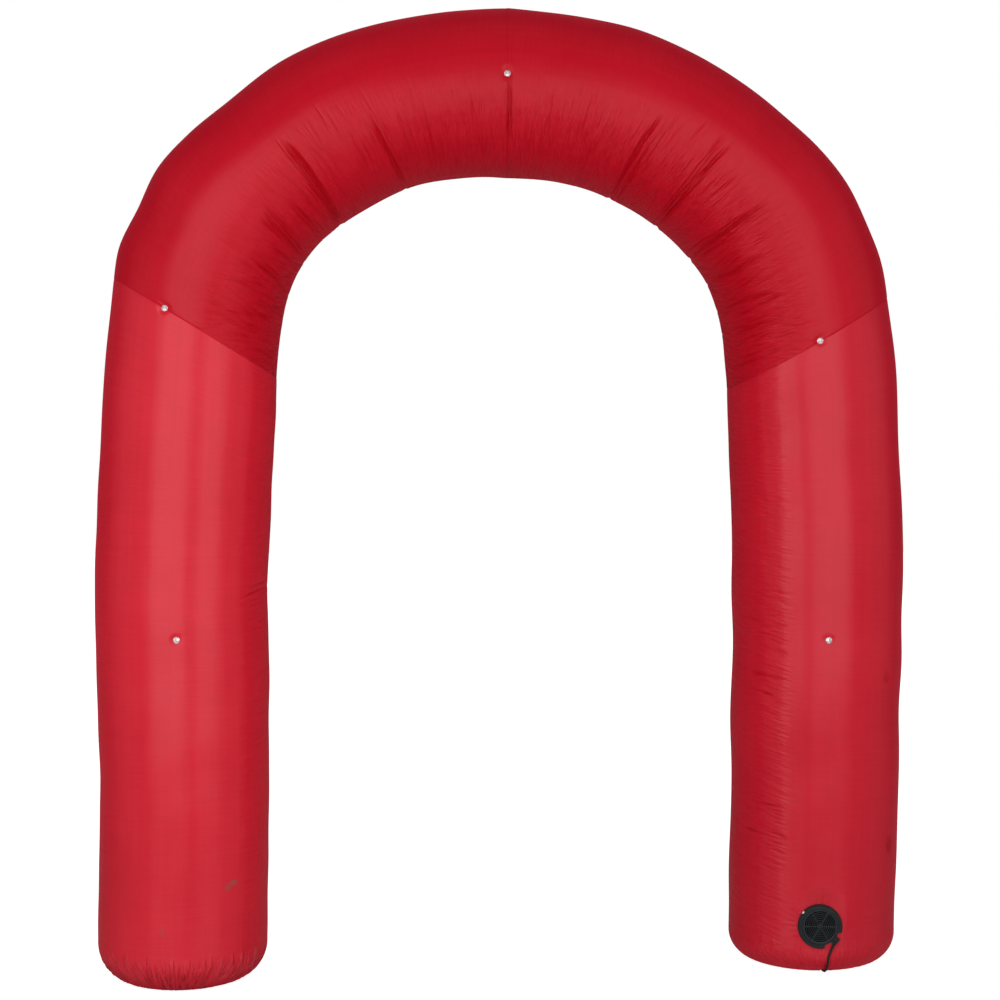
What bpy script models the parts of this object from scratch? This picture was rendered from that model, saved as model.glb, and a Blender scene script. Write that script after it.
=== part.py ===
"""Inflatable walk-through arch of four sewn cloth panels, with its blower.

X runs across the arch, -Y is its front and Z is up. The origin is on the floor, in the middle.
Each panel is a loft of oval ribs. On the crown the ribs fan out from one point on the middle line.
A turn is an angle round the tube: 0 at the front, 90 at the inner edge and -90 at the outer one.
"""
import math
from typing import NamedTuple

import bmesh
import bpy
import numpy as np
from mathutils import Matrix, Vector

# Tube and seams
FAN_X = 0.003
FAN_HEIGHT = 1.280
TUBE_DEPTH = 0.241
LEFT_SEAM = 148.8
RIGHT_SEAM = 30.1
CROWN_SEAM = 90.0
CROWN_SKEW = 0.073
SKEW_REACH = 40.0
SEAM_GAP = 0.0003
SEAM_TUCK = 0.006
SEAM_ROLL = 0.008
FOOT_STAGGER = 0.040
STAGGER_HEIGHT = 1.80
TURNS_PER_RIB = 40

# Feet
LEFT_FOOT_ROUND = 0.100
RIGHT_FOOT_ROUND = 0.077
LEFT_FOOT_SWING = 0.008
RIGHT_FOOT_SWING = 0.006
GATHER_DEPTH = 0.004

# Light buttons
BUTTON_RADIUS = 0.0092
BUTTON_RIM = 0.0018
BUTTON_RISE = 0.0050
BUTTON_SINK = 0.0030
SEAM_BUTTON_SINK = 0.0042
FIT_GAP = 0.0003
LEG_LEFT_BUTTON = (0.958, 2.0)
LEG_RIGHT_BUTTON = (0.942, 6.0)
HAUNCH_LEFT_TURN = -16.0
HAUNCH_RIGHT_TURN = 5.0
CROWN_TURN = -1.0

# Blower
BLOWER_HEIGHT = 0.140
BLOWER_TURN = 8.0
BLOWER_SINK = 0.009
FLANGE_RADIUS = 0.062
FLANGE_THICKNESS = 0.007
FLAT_RADIUS = 0.074
FLAT_BLEND = 0.125
CUP_RADIUS = 0.0468
CUP_WALL = 0.0025
CUP_DEPTH = 0.030
GRILLE_RADIUS = 0.0457
GRILLE_THICKNESS = 0.0025
GRILLE_LEDGE = 0.0013
GRILLE_UNDER = 0.0008
GRILLE_SLOTS = 7
GRILLE_HUB = 0.0080
GRILLE_BAND = 0.0022
GRILLE_BAR = 0.0019
GRILLE_SPOKES = 6
GRILLE_CELLS = 5
SPOKE_SPREAD = 3.4
NOTCH_FLOOR = 0.0525
TAB_ANGLE = -42.0
TAB_WIDTH = 0.022
TAB_REACH = 0.0645
TAB_THICKNESS = 0.011
NOTCHES = ((-17.0, -31.0), (-53.0, -77.0))

# Mains lead
LEAD_RADIUS = 0.00325
EXIT_ALONG_TAB = 0.0605
EXIT_LIFT = 0.0064
EXIT_ANGLE = -113.0
RELIEF_LENGTH = 0.022
RELIEF_START = 0.0020
RELIEF_WIDE = 0.0052
RELIEF_NARROW = 0.0038
LEAD_X = 0.886
LEAD_OFF_CLOTH = 0.0030
LEAD_OFF_FLOOR = 0.0009
LEAD_STEP = 0.013
CHANNEL_WIDTH = 0.0090
CHANNEL_HEIGHT = 0.0082
CHANNEL_FRONT = -0.22
CHANNEL_BACK = 0.29
COIL_MID_RADIUS = 0.0361
COIL_STRANDS = 3
COIL_LAYERS = 2
COIL_LIFT = 0.0018
COIL_EDGE = 0.0024
COIL_Y = 0.325
TIE_WIDTH = 0.008
TIE_THICKNESS = 0.0011
TIE_SLACK = 0.0006
TIE_ANGLE = -20.0
PLUG_BODY = (0.036, 0.026, 0.0208)
PLUG_SLEEVE = 0.018
SLEEVE_NARROW = 0.0044
SLEEVE_WIDE = 0.0072
PLUG_EDGE = 0.004
BLADE_ROOT = 0.003
BLADE = (0.016, 0.0015, 0.0063)
BLADE_SPACING = 0.0127


class LegRow(NamedTuple):
    """One height of a leg: its two edges across the arch, and how far its rib is tilted."""

    height: float
    inner_x: float
    outer_x: float
    rise: float


class CrownRow(NamedTuple):
    """One rib of the crown: its angle above the horizontal and its two edges from the fan point."""

    angle: float
    inner: float
    outer: float


class Crease(NamedTuple):
    """A trough round the tube: where it starts in front, where it meets the inner edge, and its size."""

    start: float
    edge: float
    from_turn: float
    to_turn: float
    depth: float
    width: float


LEFT_LEG = (
    LegRow(0.10, -0.680, -1.148, 0.0),
    LegRow(0.30, -0.678, -1.146, 0.0),
    LegRow(0.55, -0.676, -1.144, 0.0),
    LegRow(0.80, -0.676, -1.153, 0.0),
    LegRow(1.05, -0.680, -1.160, 0.0),
    LegRow(1.25, -0.675, -1.156, 0.02),
    LegRow(1.45, -0.667, -1.146, 0.08),
    LegRow(1.62, -0.660, -1.134, 0.17),
)
RIGHT_LEG = (
    LegRow(0.10, 0.656, 1.133, 0.0),
    LegRow(0.30, 0.657, 1.140, 0.0),
    LegRow(0.46, 0.663, 1.143, 0.0),
    LegRow(0.69, 0.659, 1.146, 0.0),
    LegRow(0.92, 0.664, 1.150, 0.0),
    LegRow(1.16, 0.660, 1.154, 0.0),
    LegRow(1.30, 0.659, 1.150, 0.02),
    LegRow(1.45, 0.653, 1.138, 0.08),
    LegRow(1.62, 0.648, 1.130, 0.17),
)
LEFT_CROWN = (
    CrownRow(148.8, 0.767, 1.298),
    CrownRow(145.0, 0.797, 1.337),
    CrownRow(140.0, 0.839, 1.360),
    CrownRow(135.0, 0.884, 1.396),
    CrownRow(130.0, 0.921, 1.409),
    CrownRow(124.0, 0.951, 1.417),
    CrownRow(116.0, 0.968, 1.444),
    CrownRow(105.0, 0.987, 1.450),
    CrownRow(95.0, 0.983, 1.449),
    CrownRow(90.0, 0.978, 1.455),
)
RIGHT_CROWN = (
    CrownRow(30.1, 0.743, 1.275),
    CrownRow(35.0, 0.778, 1.319),
    CrownRow(40.0, 0.823, 1.350),
    CrownRow(45.0, 0.866, 1.381),
    CrownRow(50.0, 0.900, 1.397),
    CrownRow(56.0, 0.926, 1.409),
    CrownRow(64.0, 0.952, 1.431),
    CrownRow(75.0, 0.975, 1.448),
    CrownRow(85.0, 0.978, 1.450),
    CrownRow(90.0, 0.978, 1.455),
)

# Creases of the crown, with their places in degrees above the horizontal.
LEFT_CROWN_CREASES = (
    Crease(102.4, 102.2, 10.0, 150.0, 0.005, 0.008),
    Crease(109.4, 107.1, 10.0, 160.0, 0.014, 0.009),
    Crease(121.1, 119.6, -3.0, 165.0, 0.022, 0.010),
    Crease(125.6, 124.0, 20.0, 140.0, 0.008, 0.009),
    Crease(129.6, 128.8, 18.0, 150.0, 0.010, 0.009),
    Crease(135.0, 134.6, 25.0, 140.0, 0.006, 0.009),
    Crease(141.0, 140.6, 30.0, 135.0, 0.005, 0.009),
)
RIGHT_CROWN_CREASES = (
    Crease(35.8, 40.4, 21.0, 140.0, 0.006, 0.009),
    Crease(40.4, 44.3, 25.0, 145.0, 0.008, 0.009),
    Crease(46.1, 49.1, 25.0, 150.0, 0.009, 0.009),
    Crease(51.6, 54.6, 7.0, 160.0, 0.016, 0.010),
    Crease(60.1, 62.6, -8.0, 165.0, 0.018, 0.010),
    Crease(69.6, 72.1, 1.0, 160.0, 0.018, 0.010),
    Crease(77.4, 78.1, 30.0, 150.0, 0.010, 0.009),
)
CROWN_PINCH = Crease(90.0, 90.0, 3.0, 150.0, 0.020, 0.009)

# How a crease fades in from its front end, fades out behind, and turns shallow at the inner edge.
CREASE_START = 26.0
CREASE_END = 30.0
EDGE_REACH = 16.0
EDGE_SHALLOWING = 0.80
SHOULDER = 0.15

# Creases of the legs, with their places as heights.
LEFT_LEG_CREASES = (
    Crease(1.070, 1.092, 36.0, 96.0, 0.009, 0.014),
    Crease(0.745, 0.750, 54.0, 90.0, 0.004, 0.012),
)
RIGHT_LEG_CREASES = (
    Crease(0.325, 0.335, 52.0, 92.0, 0.005, 0.012),
    Crease(0.400, 0.402, 34.0, 88.0, 0.007, 0.013),
    Crease(0.488, 0.492, 36.0, 90.0, 0.007, 0.013),
    Crease(0.850, 0.862, 32.0, 92.0, 0.007, 0.013),
    Crease(1.085, 1.092, 56.0, 90.0, 0.004, 0.012),
)

# Places of the ribs: the even spacing, and the extra ones by the feet, the blower and the seams.
CROWN_STEP = 3.3
SEAM_RIBS = (0.45, 1.50)
CREASE_HALF_STEP = 0.80
CLOSEST_RIBS = 1.00
DEEP_CREASE = 0.008
FOOT_BENDS = (0.0, 17.0, 34.0, 52.0, 71.0, 90.0)
LEFT_HEIGHTS = (0.13, 0.20, 0.29, 0.39, 0.50, 0.62, 0.73, 0.85, 0.96, 1.04, 1.07, 1.10, 1.18, 1.27, 1.36,
                1.44, 1.52, 1.60, 1.67, 1.73)
RIGHT_HEIGHTS = (0.115, 0.14, 0.165, 0.19, 0.22, 0.26, 0.31, 0.36, 0.40, 0.44, 0.488, 0.54, 0.62, 0.71,
                 0.79, 0.835, 0.85, 0.87, 0.94, 1.04, 1.14, 1.23, 1.32, 1.41, 1.50, 1.58, 1.65, 1.71)


class Rib(NamedTuple):
    """One oval section of the tube, given by its inner and outer points."""

    inner: Vector
    outer: Vector


def smooth(value):
    """Ease from 0 to 1 with level ends."""
    held = min(max(value, 0.0), 1.0)
    return held * held * (3.0 - 2.0 * held)


def spline_value(rows, place):
    """Read the columns of a table at a place between its rows, on one smooth curve."""
    rows = sorted(rows)
    places = [row[0] for row in rows]
    index = int(np.clip(np.searchsorted(places, place) - 1, 0, len(rows) - 2))
    before = rows[max(index - 1, 0)]
    low, high = rows[index], rows[index + 1]
    after = rows[min(index + 2, len(rows) - 1)]
    span = high[0] - low[0]
    t = min(max((place - low[0]) / span, 0.0), 1.0)
    values = []
    for column in range(1, len(low)):
        slope_low = (high[column] - before[column]) / (high[0] - before[0]) * span
        slope_high = (after[column] - low[column]) / (after[0] - low[0]) * span
        values.append((2 * t**3 - 3 * t**2 + 1) * low[column] + (t**3 - 2 * t**2 + t) * slope_low
                      + (3 * t**2 - 2 * t**3) * high[column] + (t**3 - t**2) * slope_high)
    return values


def crown_rib(rows, angle):
    """Return the crown's rib at an angle above the horizontal."""
    inner, outer = spline_value(rows, angle)
    spoke = Vector((math.cos(math.radians(angle)), 0.0, math.sin(math.radians(angle))))
    fan = Vector((FAN_X, 0.0, FAN_HEIGHT))
    return Rib(fan + spoke * inner, fan + spoke * outer)


def leg_top(rows, crown_rows, seam):
    """Return a leg's rows, with the rib that it shares with the crown as the last one."""
    rib = crown_rib(crown_rows, seam)
    middle = (rib.inner.z + rib.outer.z) / 2
    return rows + (LegRow(middle, rib.inner.x - FAN_X, rib.outer.x - FAN_X, rib.outer.z - rib.inner.z),)


def leg_rib(rows, height):
    """Return a leg's rib at the height of its middle."""
    inner_x, outer_x, rise = spline_value(rows, height)
    side = 1.0 if outer_x > 0 else -1.0
    y = side * FOOT_STAGGER * max(0.0, 1.0 - height / STAGGER_HEIGHT)
    inner = Vector((FAN_X + inner_x, y, height - rise / 2))
    outer = Vector((FAN_X + outer_x, y, height + rise / 2))
    return Rib(inner, outer)


def tube_place(rib, turn):
    """Return a point on the tube and the way out of the cloth there."""
    middle = (rib.inner + rib.outer) / 2
    half = (rib.inner - rib.outer) / 2
    sine, cosine = math.sin(math.radians(turn)), math.cos(math.radians(turn))
    front = Vector((0.0, -1.0, 0.0))
    point = middle + half * sine + front * (TUBE_DEPTH * cosine)
    normal = half * (sine / half.length_squared) + front * (cosine / TUBE_DEPTH)
    return point, normal.normalized()


def round_turn(turn):
    """Fold a turn so that the front counts from -90 to 90 and the back comes after it."""
    return (turn + 90.0) % 360.0 - 90.0


def crease_depth(crease, distance, turn):
    """Return how far a crease pulls the cloth in, at a distance across it and a turn along it."""
    here = round_turn(turn)
    fade = smooth((here - crease.from_turn) / CREASE_START) * smooth((crease.to_turn - here) / CREASE_END)
    shallow_edge = 1.0 - EDGE_SHALLOWING * math.exp(-((here - 90.0) / EDGE_REACH) ** 2)
    across = distance / crease.width
    trough = math.exp(-across * across)
    shoulders = SHOULDER * math.exp(-((abs(across) - 2.0) ** 2))
    return crease.depth * fade * shallow_edge * (trough - shoulders)


def lean(creases, ends, place, turn):
    """Return how far a rib is bent at a turn, so that it runs along the creases beside it."""
    places = [ends[0]] + [crease.start for crease in creases] + [ends[1]]
    bends = [0.0] + [crease.edge - crease.start for crease in creases] + [0.0]
    inward = math.sin(math.radians(turn))
    return float(np.interp(place, places, bends)) * smooth((inward - 0.20) / 0.75)


def seam_tuck(distance):
    """Return how far the cloth rolls in beside a seam."""
    return SEAM_TUCK * math.exp(-((distance / SEAM_ROLL) ** 2))


def crown_vertex(rows, creases, seam, angle, turn):
    """Return a point of the crown's cloth."""
    ends = sorted((seam, CROWN_SEAM))
    bent = angle + lean(creases, ends, angle, turn)
    point, normal = tube_place(crown_rib(rows, bent), turn)
    radius = math.hypot(point.x - FAN_X, point.z - FAN_HEIGHT)
    inset = seam_tuck(math.radians(abs(angle - seam)) * radius)
    inset += seam_tuck(math.radians(abs(angle - CROWN_SEAM)) * radius)
    inset += crease_depth(CROWN_PINCH, math.radians(angle - CROWN_SEAM) * radius, turn)
    for crease in creases:
        inset += crease_depth(crease, math.radians(angle - crease.start) * radius, turn)
    return skewed(point - normal * inset, angle)


def skewed(point, angle):
    """Swing the cloth beside the crown seam, so that the seam runs a little askew to the arch."""
    shift = CROWN_SKEW * smooth(1.0 - abs(angle - CROWN_SEAM) / SKEW_REACH)
    return point + Vector((shift * point.y, 0.0, 0.0))


def leg_vertex(rows, creases, height, turn):
    """Return a point of a leg's cloth, above its foot."""
    top = rows[-1].height
    bent = height + lean(creases, (0.0, top), height, turn)
    point, normal = tube_place(leg_rib(rows, bent), turn)
    inset = seam_tuck(top - height)
    for crease in creases:
        inset += crease_depth(crease, height - crease.start, turn)
    return point - normal * inset


def foot_round(side, turn):
    """Return the radius of a foot's rounded lower edge, tighter at the arch's inner side on the right."""
    middle = RIGHT_FOOT_ROUND if side > 0 else LEFT_FOOT_ROUND
    swing = RIGHT_FOOT_SWING if side > 0 else LEFT_FOOT_SWING
    return middle - swing * math.sin(math.radians(turn))


def foot_place(rows, side, bend, turn, gathered):
    """Return a point on a foot's rounded lower edge, and the way out of the cloth there."""
    point, normal = tube_place(leg_rib(rows, 0.10), turn)
    flat = Vector((normal.x, normal.y, 0.0)).normalized()
    radius = foot_round(side, turn)
    sine, cosine = math.sin(math.radians(bend)), math.cos(math.radians(bend))
    out = flat * sine - Vector((0.0, 0.0, cosine))
    place = point - flat * (radius * (1.0 - sine))
    place.z = radius * (1.0 - cosine)
    if gathered:
        place -= flat * (GATHER_DEPTH * smooth((90.0 - bend) / 60.0))
    return place, out


def turns():
    """Return the turns of a rib's points."""
    return [360.0 * index / TURNS_PER_RIB for index in range(TURNS_PER_RIB)]


def blower_frame(rows):
    """Return the blower's own axes on the right leg: X to the right, Y up and Z out of the cloth."""
    point, _ = tube_place(leg_rib(rows, BLOWER_HEIGHT), BLOWER_TURN)
    angle = math.radians(BLOWER_TURN)
    out = Vector((-math.sin(angle), -math.cos(angle), 0.0))
    right = Vector((math.cos(angle), -math.sin(angle), 0.0))
    seat = point - out * BLOWER_SINK
    frame = Matrix((right, Vector((0.0, 0.0, 1.0)), out)).transposed().to_4x4()
    frame.translation = seat
    return frame


def press_flat(point, frame):
    """Lay the cloth flat under the blower's flange, and ease it back to round beyond."""
    local = frame.inverted() @ point
    distance = math.hypot(local.x, local.y)
    if local.z <= 0.0 or distance > FLAT_BLEND:
        return point
    local.z *= smooth((distance - FLAT_RADIUS) / (FLAT_BLEND - FLAT_RADIUS))
    return frame @ local


def make_material(name, color, roughness, metallic=0.0, alpha=1.0):
    """Make a plain finish."""
    material = bpy.data.materials.new(name)
    material.use_nodes = True
    shader = material.node_tree.nodes["Principled BSDF"]
    shader.inputs["Base Color"].default_value = (*color, 1.0)
    shader.inputs["Roughness"].default_value = roughness
    shader.inputs["Metallic"].default_value = metallic
    shader.inputs["Alpha"].default_value = alpha
    material.diffuse_color = (*color, 1.0)
    return material


def make_object(name, mesh, collection, material=None):
    """Put a mesh in a collection under its name, with its finish."""
    thing = bpy.data.objects.new(name, mesh)
    collection.objects.link(thing)
    if material:
        mesh.materials.append(material)
    mesh.shade_smooth()
    mesh.set_sharp_from_angle(angle=math.radians(35.0))
    return thing


def loft(name, rings, collection, material):
    """Join rings of points into one closed body, with flat ends."""
    work = bmesh.new()
    rows = [[work.verts.new(point) for point in ring] for ring in rings]
    count = len(rings[0])
    for low, high in zip(rows, rows[1:]):
        for index in range(count):
            after = (index + 1) % count
            work.faces.new((low[index], low[after], high[after], high[index]))
    work.faces.new(rows[0])
    work.faces.new(rows[-1])
    bmesh.ops.recalc_face_normals(work, faces=work.faces)
    mesh = bpy.data.meshes.new(name)
    work.to_mesh(mesh)
    work.free()
    return make_object(name, mesh, collection, material)


def crown_angles(creases, seam):
    """Return the crown's rib angles: even ones, and closer ones at the seams and creases."""
    way = 1.0 if seam < CROWN_SEAM else -1.0
    start = seam + way * math.degrees(SEAM_GAP / 0.740)
    end = CROWN_SEAM - way * math.degrees(SEAM_GAP / 2 / 0.976)
    angles = [start, end]
    angles += [start + way * step for step in SEAM_RIBS] + [end - way * step for step in SEAM_RIBS]
    for crease in creases:
        angles.append(crease.start)
        if crease.depth >= DEEP_CREASE:
            angles += [crease.start - CREASE_HALF_STEP, crease.start + CREASE_HALF_STEP]
    low, high = min(start, end), max(start, end)
    count = round((high - low) / CROWN_STEP)
    for index in range(1, count):
        angle = low + (high - low) * index / count
        if all(abs(angle - other) >= CLOSEST_RIBS for other in angles):
            angles.append(angle)
    return sorted(angles)


def make_crown(name, rows, creases, seam, collection, material):
    """Build one half of the crown."""
    rings = []
    for angle in crown_angles(creases, seam):
        rings.append([crown_vertex(rows, creases, seam, angle, turn) for turn in turns()])
    return loft(name, rings, collection, material)


def make_leg(name, rows, creases, side, heights, collection, material, frame=None):
    """Build one leg on its rounded foot, pressed flat where the blower sits."""
    rings = []
    for bend in FOOT_BENDS:
        rings.append([foot_place(rows, side, bend, turn, index % 2 == 1)[0]
                      for index, turn in enumerate(turns())])
    top = rows[-1].height
    for height in heights + (top - 0.030, top - 0.011, top):
        rings.append([leg_vertex(rows, creases, height, turn) for turn in turns()])
    if frame:
        rings = [[press_flat(point, frame) for point in ring] for ring in rings]
    return loft(name, rings, collection, material)


def turned(name, profile, steps, frame, collection, material):
    """Turn a closed profile of (radius, height) pairs about the Z axis of a frame."""
    mesh = bpy.data.meshes.new(name)
    points = [(radius, 0.0, height) for radius, height in profile]
    mesh.from_pydata(points, [(index, index + 1) for index in range(len(points) - 1)], [])
    thing = bpy.data.objects.new(name, mesh)
    collection.objects.link(thing)
    thing.matrix_world = frame
    screw = thing.modifiers.new("turn", "SCREW")
    screw.steps = steps
    screw.render_steps = steps
    screw.use_merge_vertices = True
    screw.merge_threshold = 0.00005
    thing.data.materials.append(material)
    return settle(thing)


def settle(thing):
    """Turn an object's modifiers into a plain mesh whose faces point outwards."""
    graph = bpy.context.evaluated_depsgraph_get()
    mesh = bpy.data.meshes.new_from_object(thing.evaluated_get(graph))
    work = bmesh.new()
    work.from_mesh(mesh)
    bmesh.ops.remove_doubles(work, verts=work.verts, dist=0.00002)
    bmesh.ops.recalc_face_normals(work, faces=work.faces)
    work.to_mesh(mesh)
    work.free()
    mesh.shade_smooth()
    mesh.set_sharp_from_angle(angle=math.radians(35.0))
    thing.modifiers.clear()
    thing.data = mesh
    return thing


def cylinder_cutter(name, radius, low, high, frame, collection, segments=48):
    """Make a round cutter that runs from one height to another on a frame's Z axis."""
    work = bmesh.new()
    bmesh.ops.create_cone(work, cap_ends=True, segments=segments, radius1=radius, radius2=radius,
                          depth=high - low, matrix=Matrix.Translation((0.0, 0.0, (low + high) / 2)))
    mesh = bpy.data.meshes.new(name)
    work.to_mesh(mesh)
    work.free()
    return hide_cutter(make_object(name, mesh, collection), frame)


def box_cutter(name, low, high, frame, collection):
    """Make a box-shaped cutter between two corners of a frame."""
    cutter = box_object(name, low, high, collection)
    return hide_cutter(cutter, frame)


def box_object(name, low, high, collection, material=None):
    """Make a box between two corners."""
    low, high = Vector(low), Vector(high)
    work = bmesh.new()
    bmesh.ops.create_cube(work, size=1.0)
    size = Matrix.Diagonal((*(high - low), 1.0))
    bmesh.ops.transform(work, matrix=Matrix.Translation((low + high) / 2) @ size, verts=work.verts)
    mesh = bpy.data.meshes.new(name)
    work.to_mesh(mesh)
    work.free()
    return make_object(name, mesh, collection, material)


def hide_cutter(cutter, frame):
    """Place a cutter and keep it out of the built object."""
    cutter.matrix_world = frame
    cutter.hide_render = True
    cutter.display_type = "WIRE"
    return cutter


def combine(thing, other, operation):
    """Add a Boolean with another object."""
    change = thing.modifiers.new(other.name, "BOOLEAN")
    change.operation = operation
    change.object = other
    change.solver = "EXACT"


def seat_frame(point, normal, sink):
    """Return a frame whose Z axis is the way out of the cloth, a little below its face."""
    frame = normal.to_track_quat("Z", "Y").to_matrix().to_4x4()
    frame.translation = point - normal * sink
    return frame


def make_button(name, frame, panels, collection, cutters, material):
    """Build one clear light button, in a shallow seat in the cloth under it."""
    profile = ((0.0, BUTTON_RISE), (BUTTON_RADIUS * 0.45, BUTTON_RISE * 0.95),
               (BUTTON_RADIUS * 0.80, BUTTON_RISE * 0.74), (BUTTON_RADIUS, BUTTON_RIM),
               (BUTTON_RADIUS, 0.0), (0.0, 0.0))
    turned(name, profile, 20, frame, collection, material)
    cutter = cylinder_cutter(name + "_seat", BUTTON_RADIUS + FIT_GAP, -FIT_GAP, 0.02, frame, cutters, 20)
    for panel in panels:
        combine(panel, cutter, "DIFFERENCE")


def make_blower_body(frame, collection, cutters, material):
    """Build the blower's flange with its shallow cup, notched on both sides of the lead's tab."""
    ledge = FLANGE_THICKNESS - GRILLE_THICKNESS - GRILLE_UNDER
    inside = CUP_RADIUS - CUP_WALL - GRILLE_LEDGE
    profile = ((0.0, -CUP_DEPTH + CUP_WALL), (inside, -CUP_DEPTH + CUP_WALL),
               (inside, ledge), (GRILLE_RADIUS + FIT_GAP, ledge),
               (GRILLE_RADIUS + FIT_GAP, FLANGE_THICKNESS - 0.0004),
               (GRILLE_RADIUS + 0.0012, FLANGE_THICKNESS), (FLANGE_RADIUS - 0.0020, FLANGE_THICKNESS),
               (FLANGE_RADIUS, FLANGE_THICKNESS - 0.0030), (FLANGE_RADIUS, 0.0), (CUP_RADIUS, 0.0),
               (CUP_RADIUS, -CUP_DEPTH), (0.0, -CUP_DEPTH))
    body = turned("blower_body", profile, 48, frame, collection, material)
    for index, (first, last) in enumerate(NOTCHES):
        wedge = ring_cutter("notch_%d" % index, NOTCH_FLOOR, FLANGE_RADIUS + 0.01, first, last, frame,
                            cutters)
        combine(body, wedge, "DIFFERENCE")
    turn = frame @ Matrix.Rotation(math.radians(TAB_ANGLE), 4, "Z")
    tab = box_cutter("tab_block", (NOTCH_FLOOR - 0.003, -TAB_WIDTH / 2, 0.0006),
                     (TAB_REACH, TAB_WIDTH / 2, TAB_THICKNESS), turn, cutters)
    combine(body, tab, "UNION")
    return settle(body)


def ring_cutter(name, inner, outer, first, last, frame, collection):
    """Make a cutter in the shape of a piece of a ring, between two angles."""
    steps = 5
    outline = []
    for radius, order in ((inner, range(steps + 1)), (outer, range(steps, -1, -1))):
        for index in order:
            angle = math.radians(first + (last - first) * index / steps)
            outline.append(Vector((radius * math.cos(angle), radius * math.sin(angle), 0.0)))
    rings = [[point + Vector((0.0, 0.0, height)) for point in outline] for height in (-0.002, 0.02)]
    cutter = loft(name, rings, collection, None)
    return hide_cutter(cutter, frame)


def make_grille(frame, collection, material):
    """Build the round grille: thin rings on tapered spokes, cut through between them."""
    gap = (GRILLE_RADIUS - GRILLE_BAND - GRILLE_HUB - (GRILLE_SLOTS - 1) * GRILLE_BAR) / GRILLE_SLOTS
    radii = [0.0, GRILLE_HUB]
    for _ in range(GRILLE_SLOTS - 1):
        radii += [radii[-1] + gap, radii[-1] + gap + GRILLE_BAR]
    radii += [GRILLE_RADIUS - GRILLE_BAND, GRILLE_RADIUS]
    angles, spoke_cells = [], set()
    for spoke in range(GRILLE_SPOKES):
        start = 360.0 * spoke / GRILLE_SPOKES - SPOKE_SPREAD / 2
        spoke_cells.add(len(angles))
        angles.append(start)
        free = 360.0 / GRILLE_SPOKES - SPOKE_SPREAD
        angles += [start + SPOKE_SPREAD + free * cell / GRILLE_CELLS for cell in range(GRILLE_CELLS)]
    work = bmesh.new()
    middle = work.verts.new((0.0, 0.0, 0.0))
    circles = [[work.verts.new((radius * math.cos(math.radians(angle)),
                                radius * math.sin(math.radians(angle)), 0.0)) for angle in angles]
               for radius in radii[1:]]
    count = len(angles)
    for cell in range(count):
        after = (cell + 1) % count
        work.faces.new((middle, circles[0][cell], circles[0][after]))
        for band, (low, high) in enumerate(zip(circles, circles[1:])):
            if band % 2 == 1 or cell in spoke_cells:
                work.faces.new((low[cell], high[cell], high[after], low[after]))
    mesh = bpy.data.meshes.new("blower_grille")
    work.to_mesh(mesh)
    work.free()
    grille = make_object("blower_grille", mesh, collection, material)
    lift = FLANGE_THICKNESS - GRILLE_THICKNESS - GRILLE_UNDER + FIT_GAP
    grille.matrix_world = frame @ Matrix.Translation((0.0, 0.0, lift))
    shell = grille.modifiers.new("thickness", "SOLIDIFY")
    shell.thickness = GRILLE_THICKNESS
    shell.offset = 1.0
    return settle(grille)


def exit_place(frame):
    """Return where the lead leaves the tab, and the way it leaves."""
    tab = math.radians(TAB_ANGLE)
    along = Vector((math.cos(tab), math.sin(tab), 0.0))
    aside = Vector((math.sin(tab), -math.cos(tab), 0.0))
    local = along * EXIT_ALONG_TAB + aside * (TAB_WIDTH / 2) + Vector((0.0, 0.0, EXIT_LIFT))
    leave = math.radians(EXIT_ANGLE)
    way = Vector((math.cos(leave), math.sin(leave), 0.0))
    return frame @ local, (frame.to_3x3() @ way).normalized()


def lead_route(rows, frame):
    """Return the lead's way from its relief down the foot, through under it and back to the coil."""
    start, way = exit_place(frame)
    first = start + way * (RELIEF_LENGTH + 2 * FIT_GAP)
    points = [first, first + way * 0.007, first + way * 0.014]
    off = LEAD_RADIUS + LEAD_OFF_CLOTH
    for bend, turn in ((56.0, 1.8), (41.0, 2.6)):
        place, out = foot_place(rows, 1.0, bend, turn, False)
        points.append(place + out * off)
    level = LEAD_RADIUS + LEAD_OFF_FLOOR
    front = foot_place(rows, 1.0, 0.0, 3.0, False)[0].y
    for y in (front - 0.037, front - 0.012, front + 0.03, front + 0.09, front + 0.15, front + 0.21,
              front + 0.27, front + 0.33):
        points.append(Vector((LEAD_X, y, level)))
    points.append(Vector((LEAD_X, COIL_Y - 0.060, level)))
    points.append(Vector((LEAD_X, COIL_Y - lead_meets_coil(), level)))
    return points


def lead_meets_coil():
    """Return how far before the coil's middle the lead's end meets the coil's outer wall."""
    wall = coil_radii()[1]
    inner_side = coil_turn_radius() - LEAD_RADIUS
    return math.sqrt(wall * wall - inner_side * inner_side) + 2 * FIT_GAP


def coil_turn_radius():
    """Return the radius of the coil's outermost turn."""
    return COIL_MID_RADIUS + (COIL_STRANDS - 1) * LEAD_RADIUS


def coil_radii():
    """Return the coil's inner and outer radii."""
    half = COIL_STRANDS * LEAD_RADIUS + 0.0002
    return COIL_MID_RADIUS - half, COIL_MID_RADIUS + half


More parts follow.
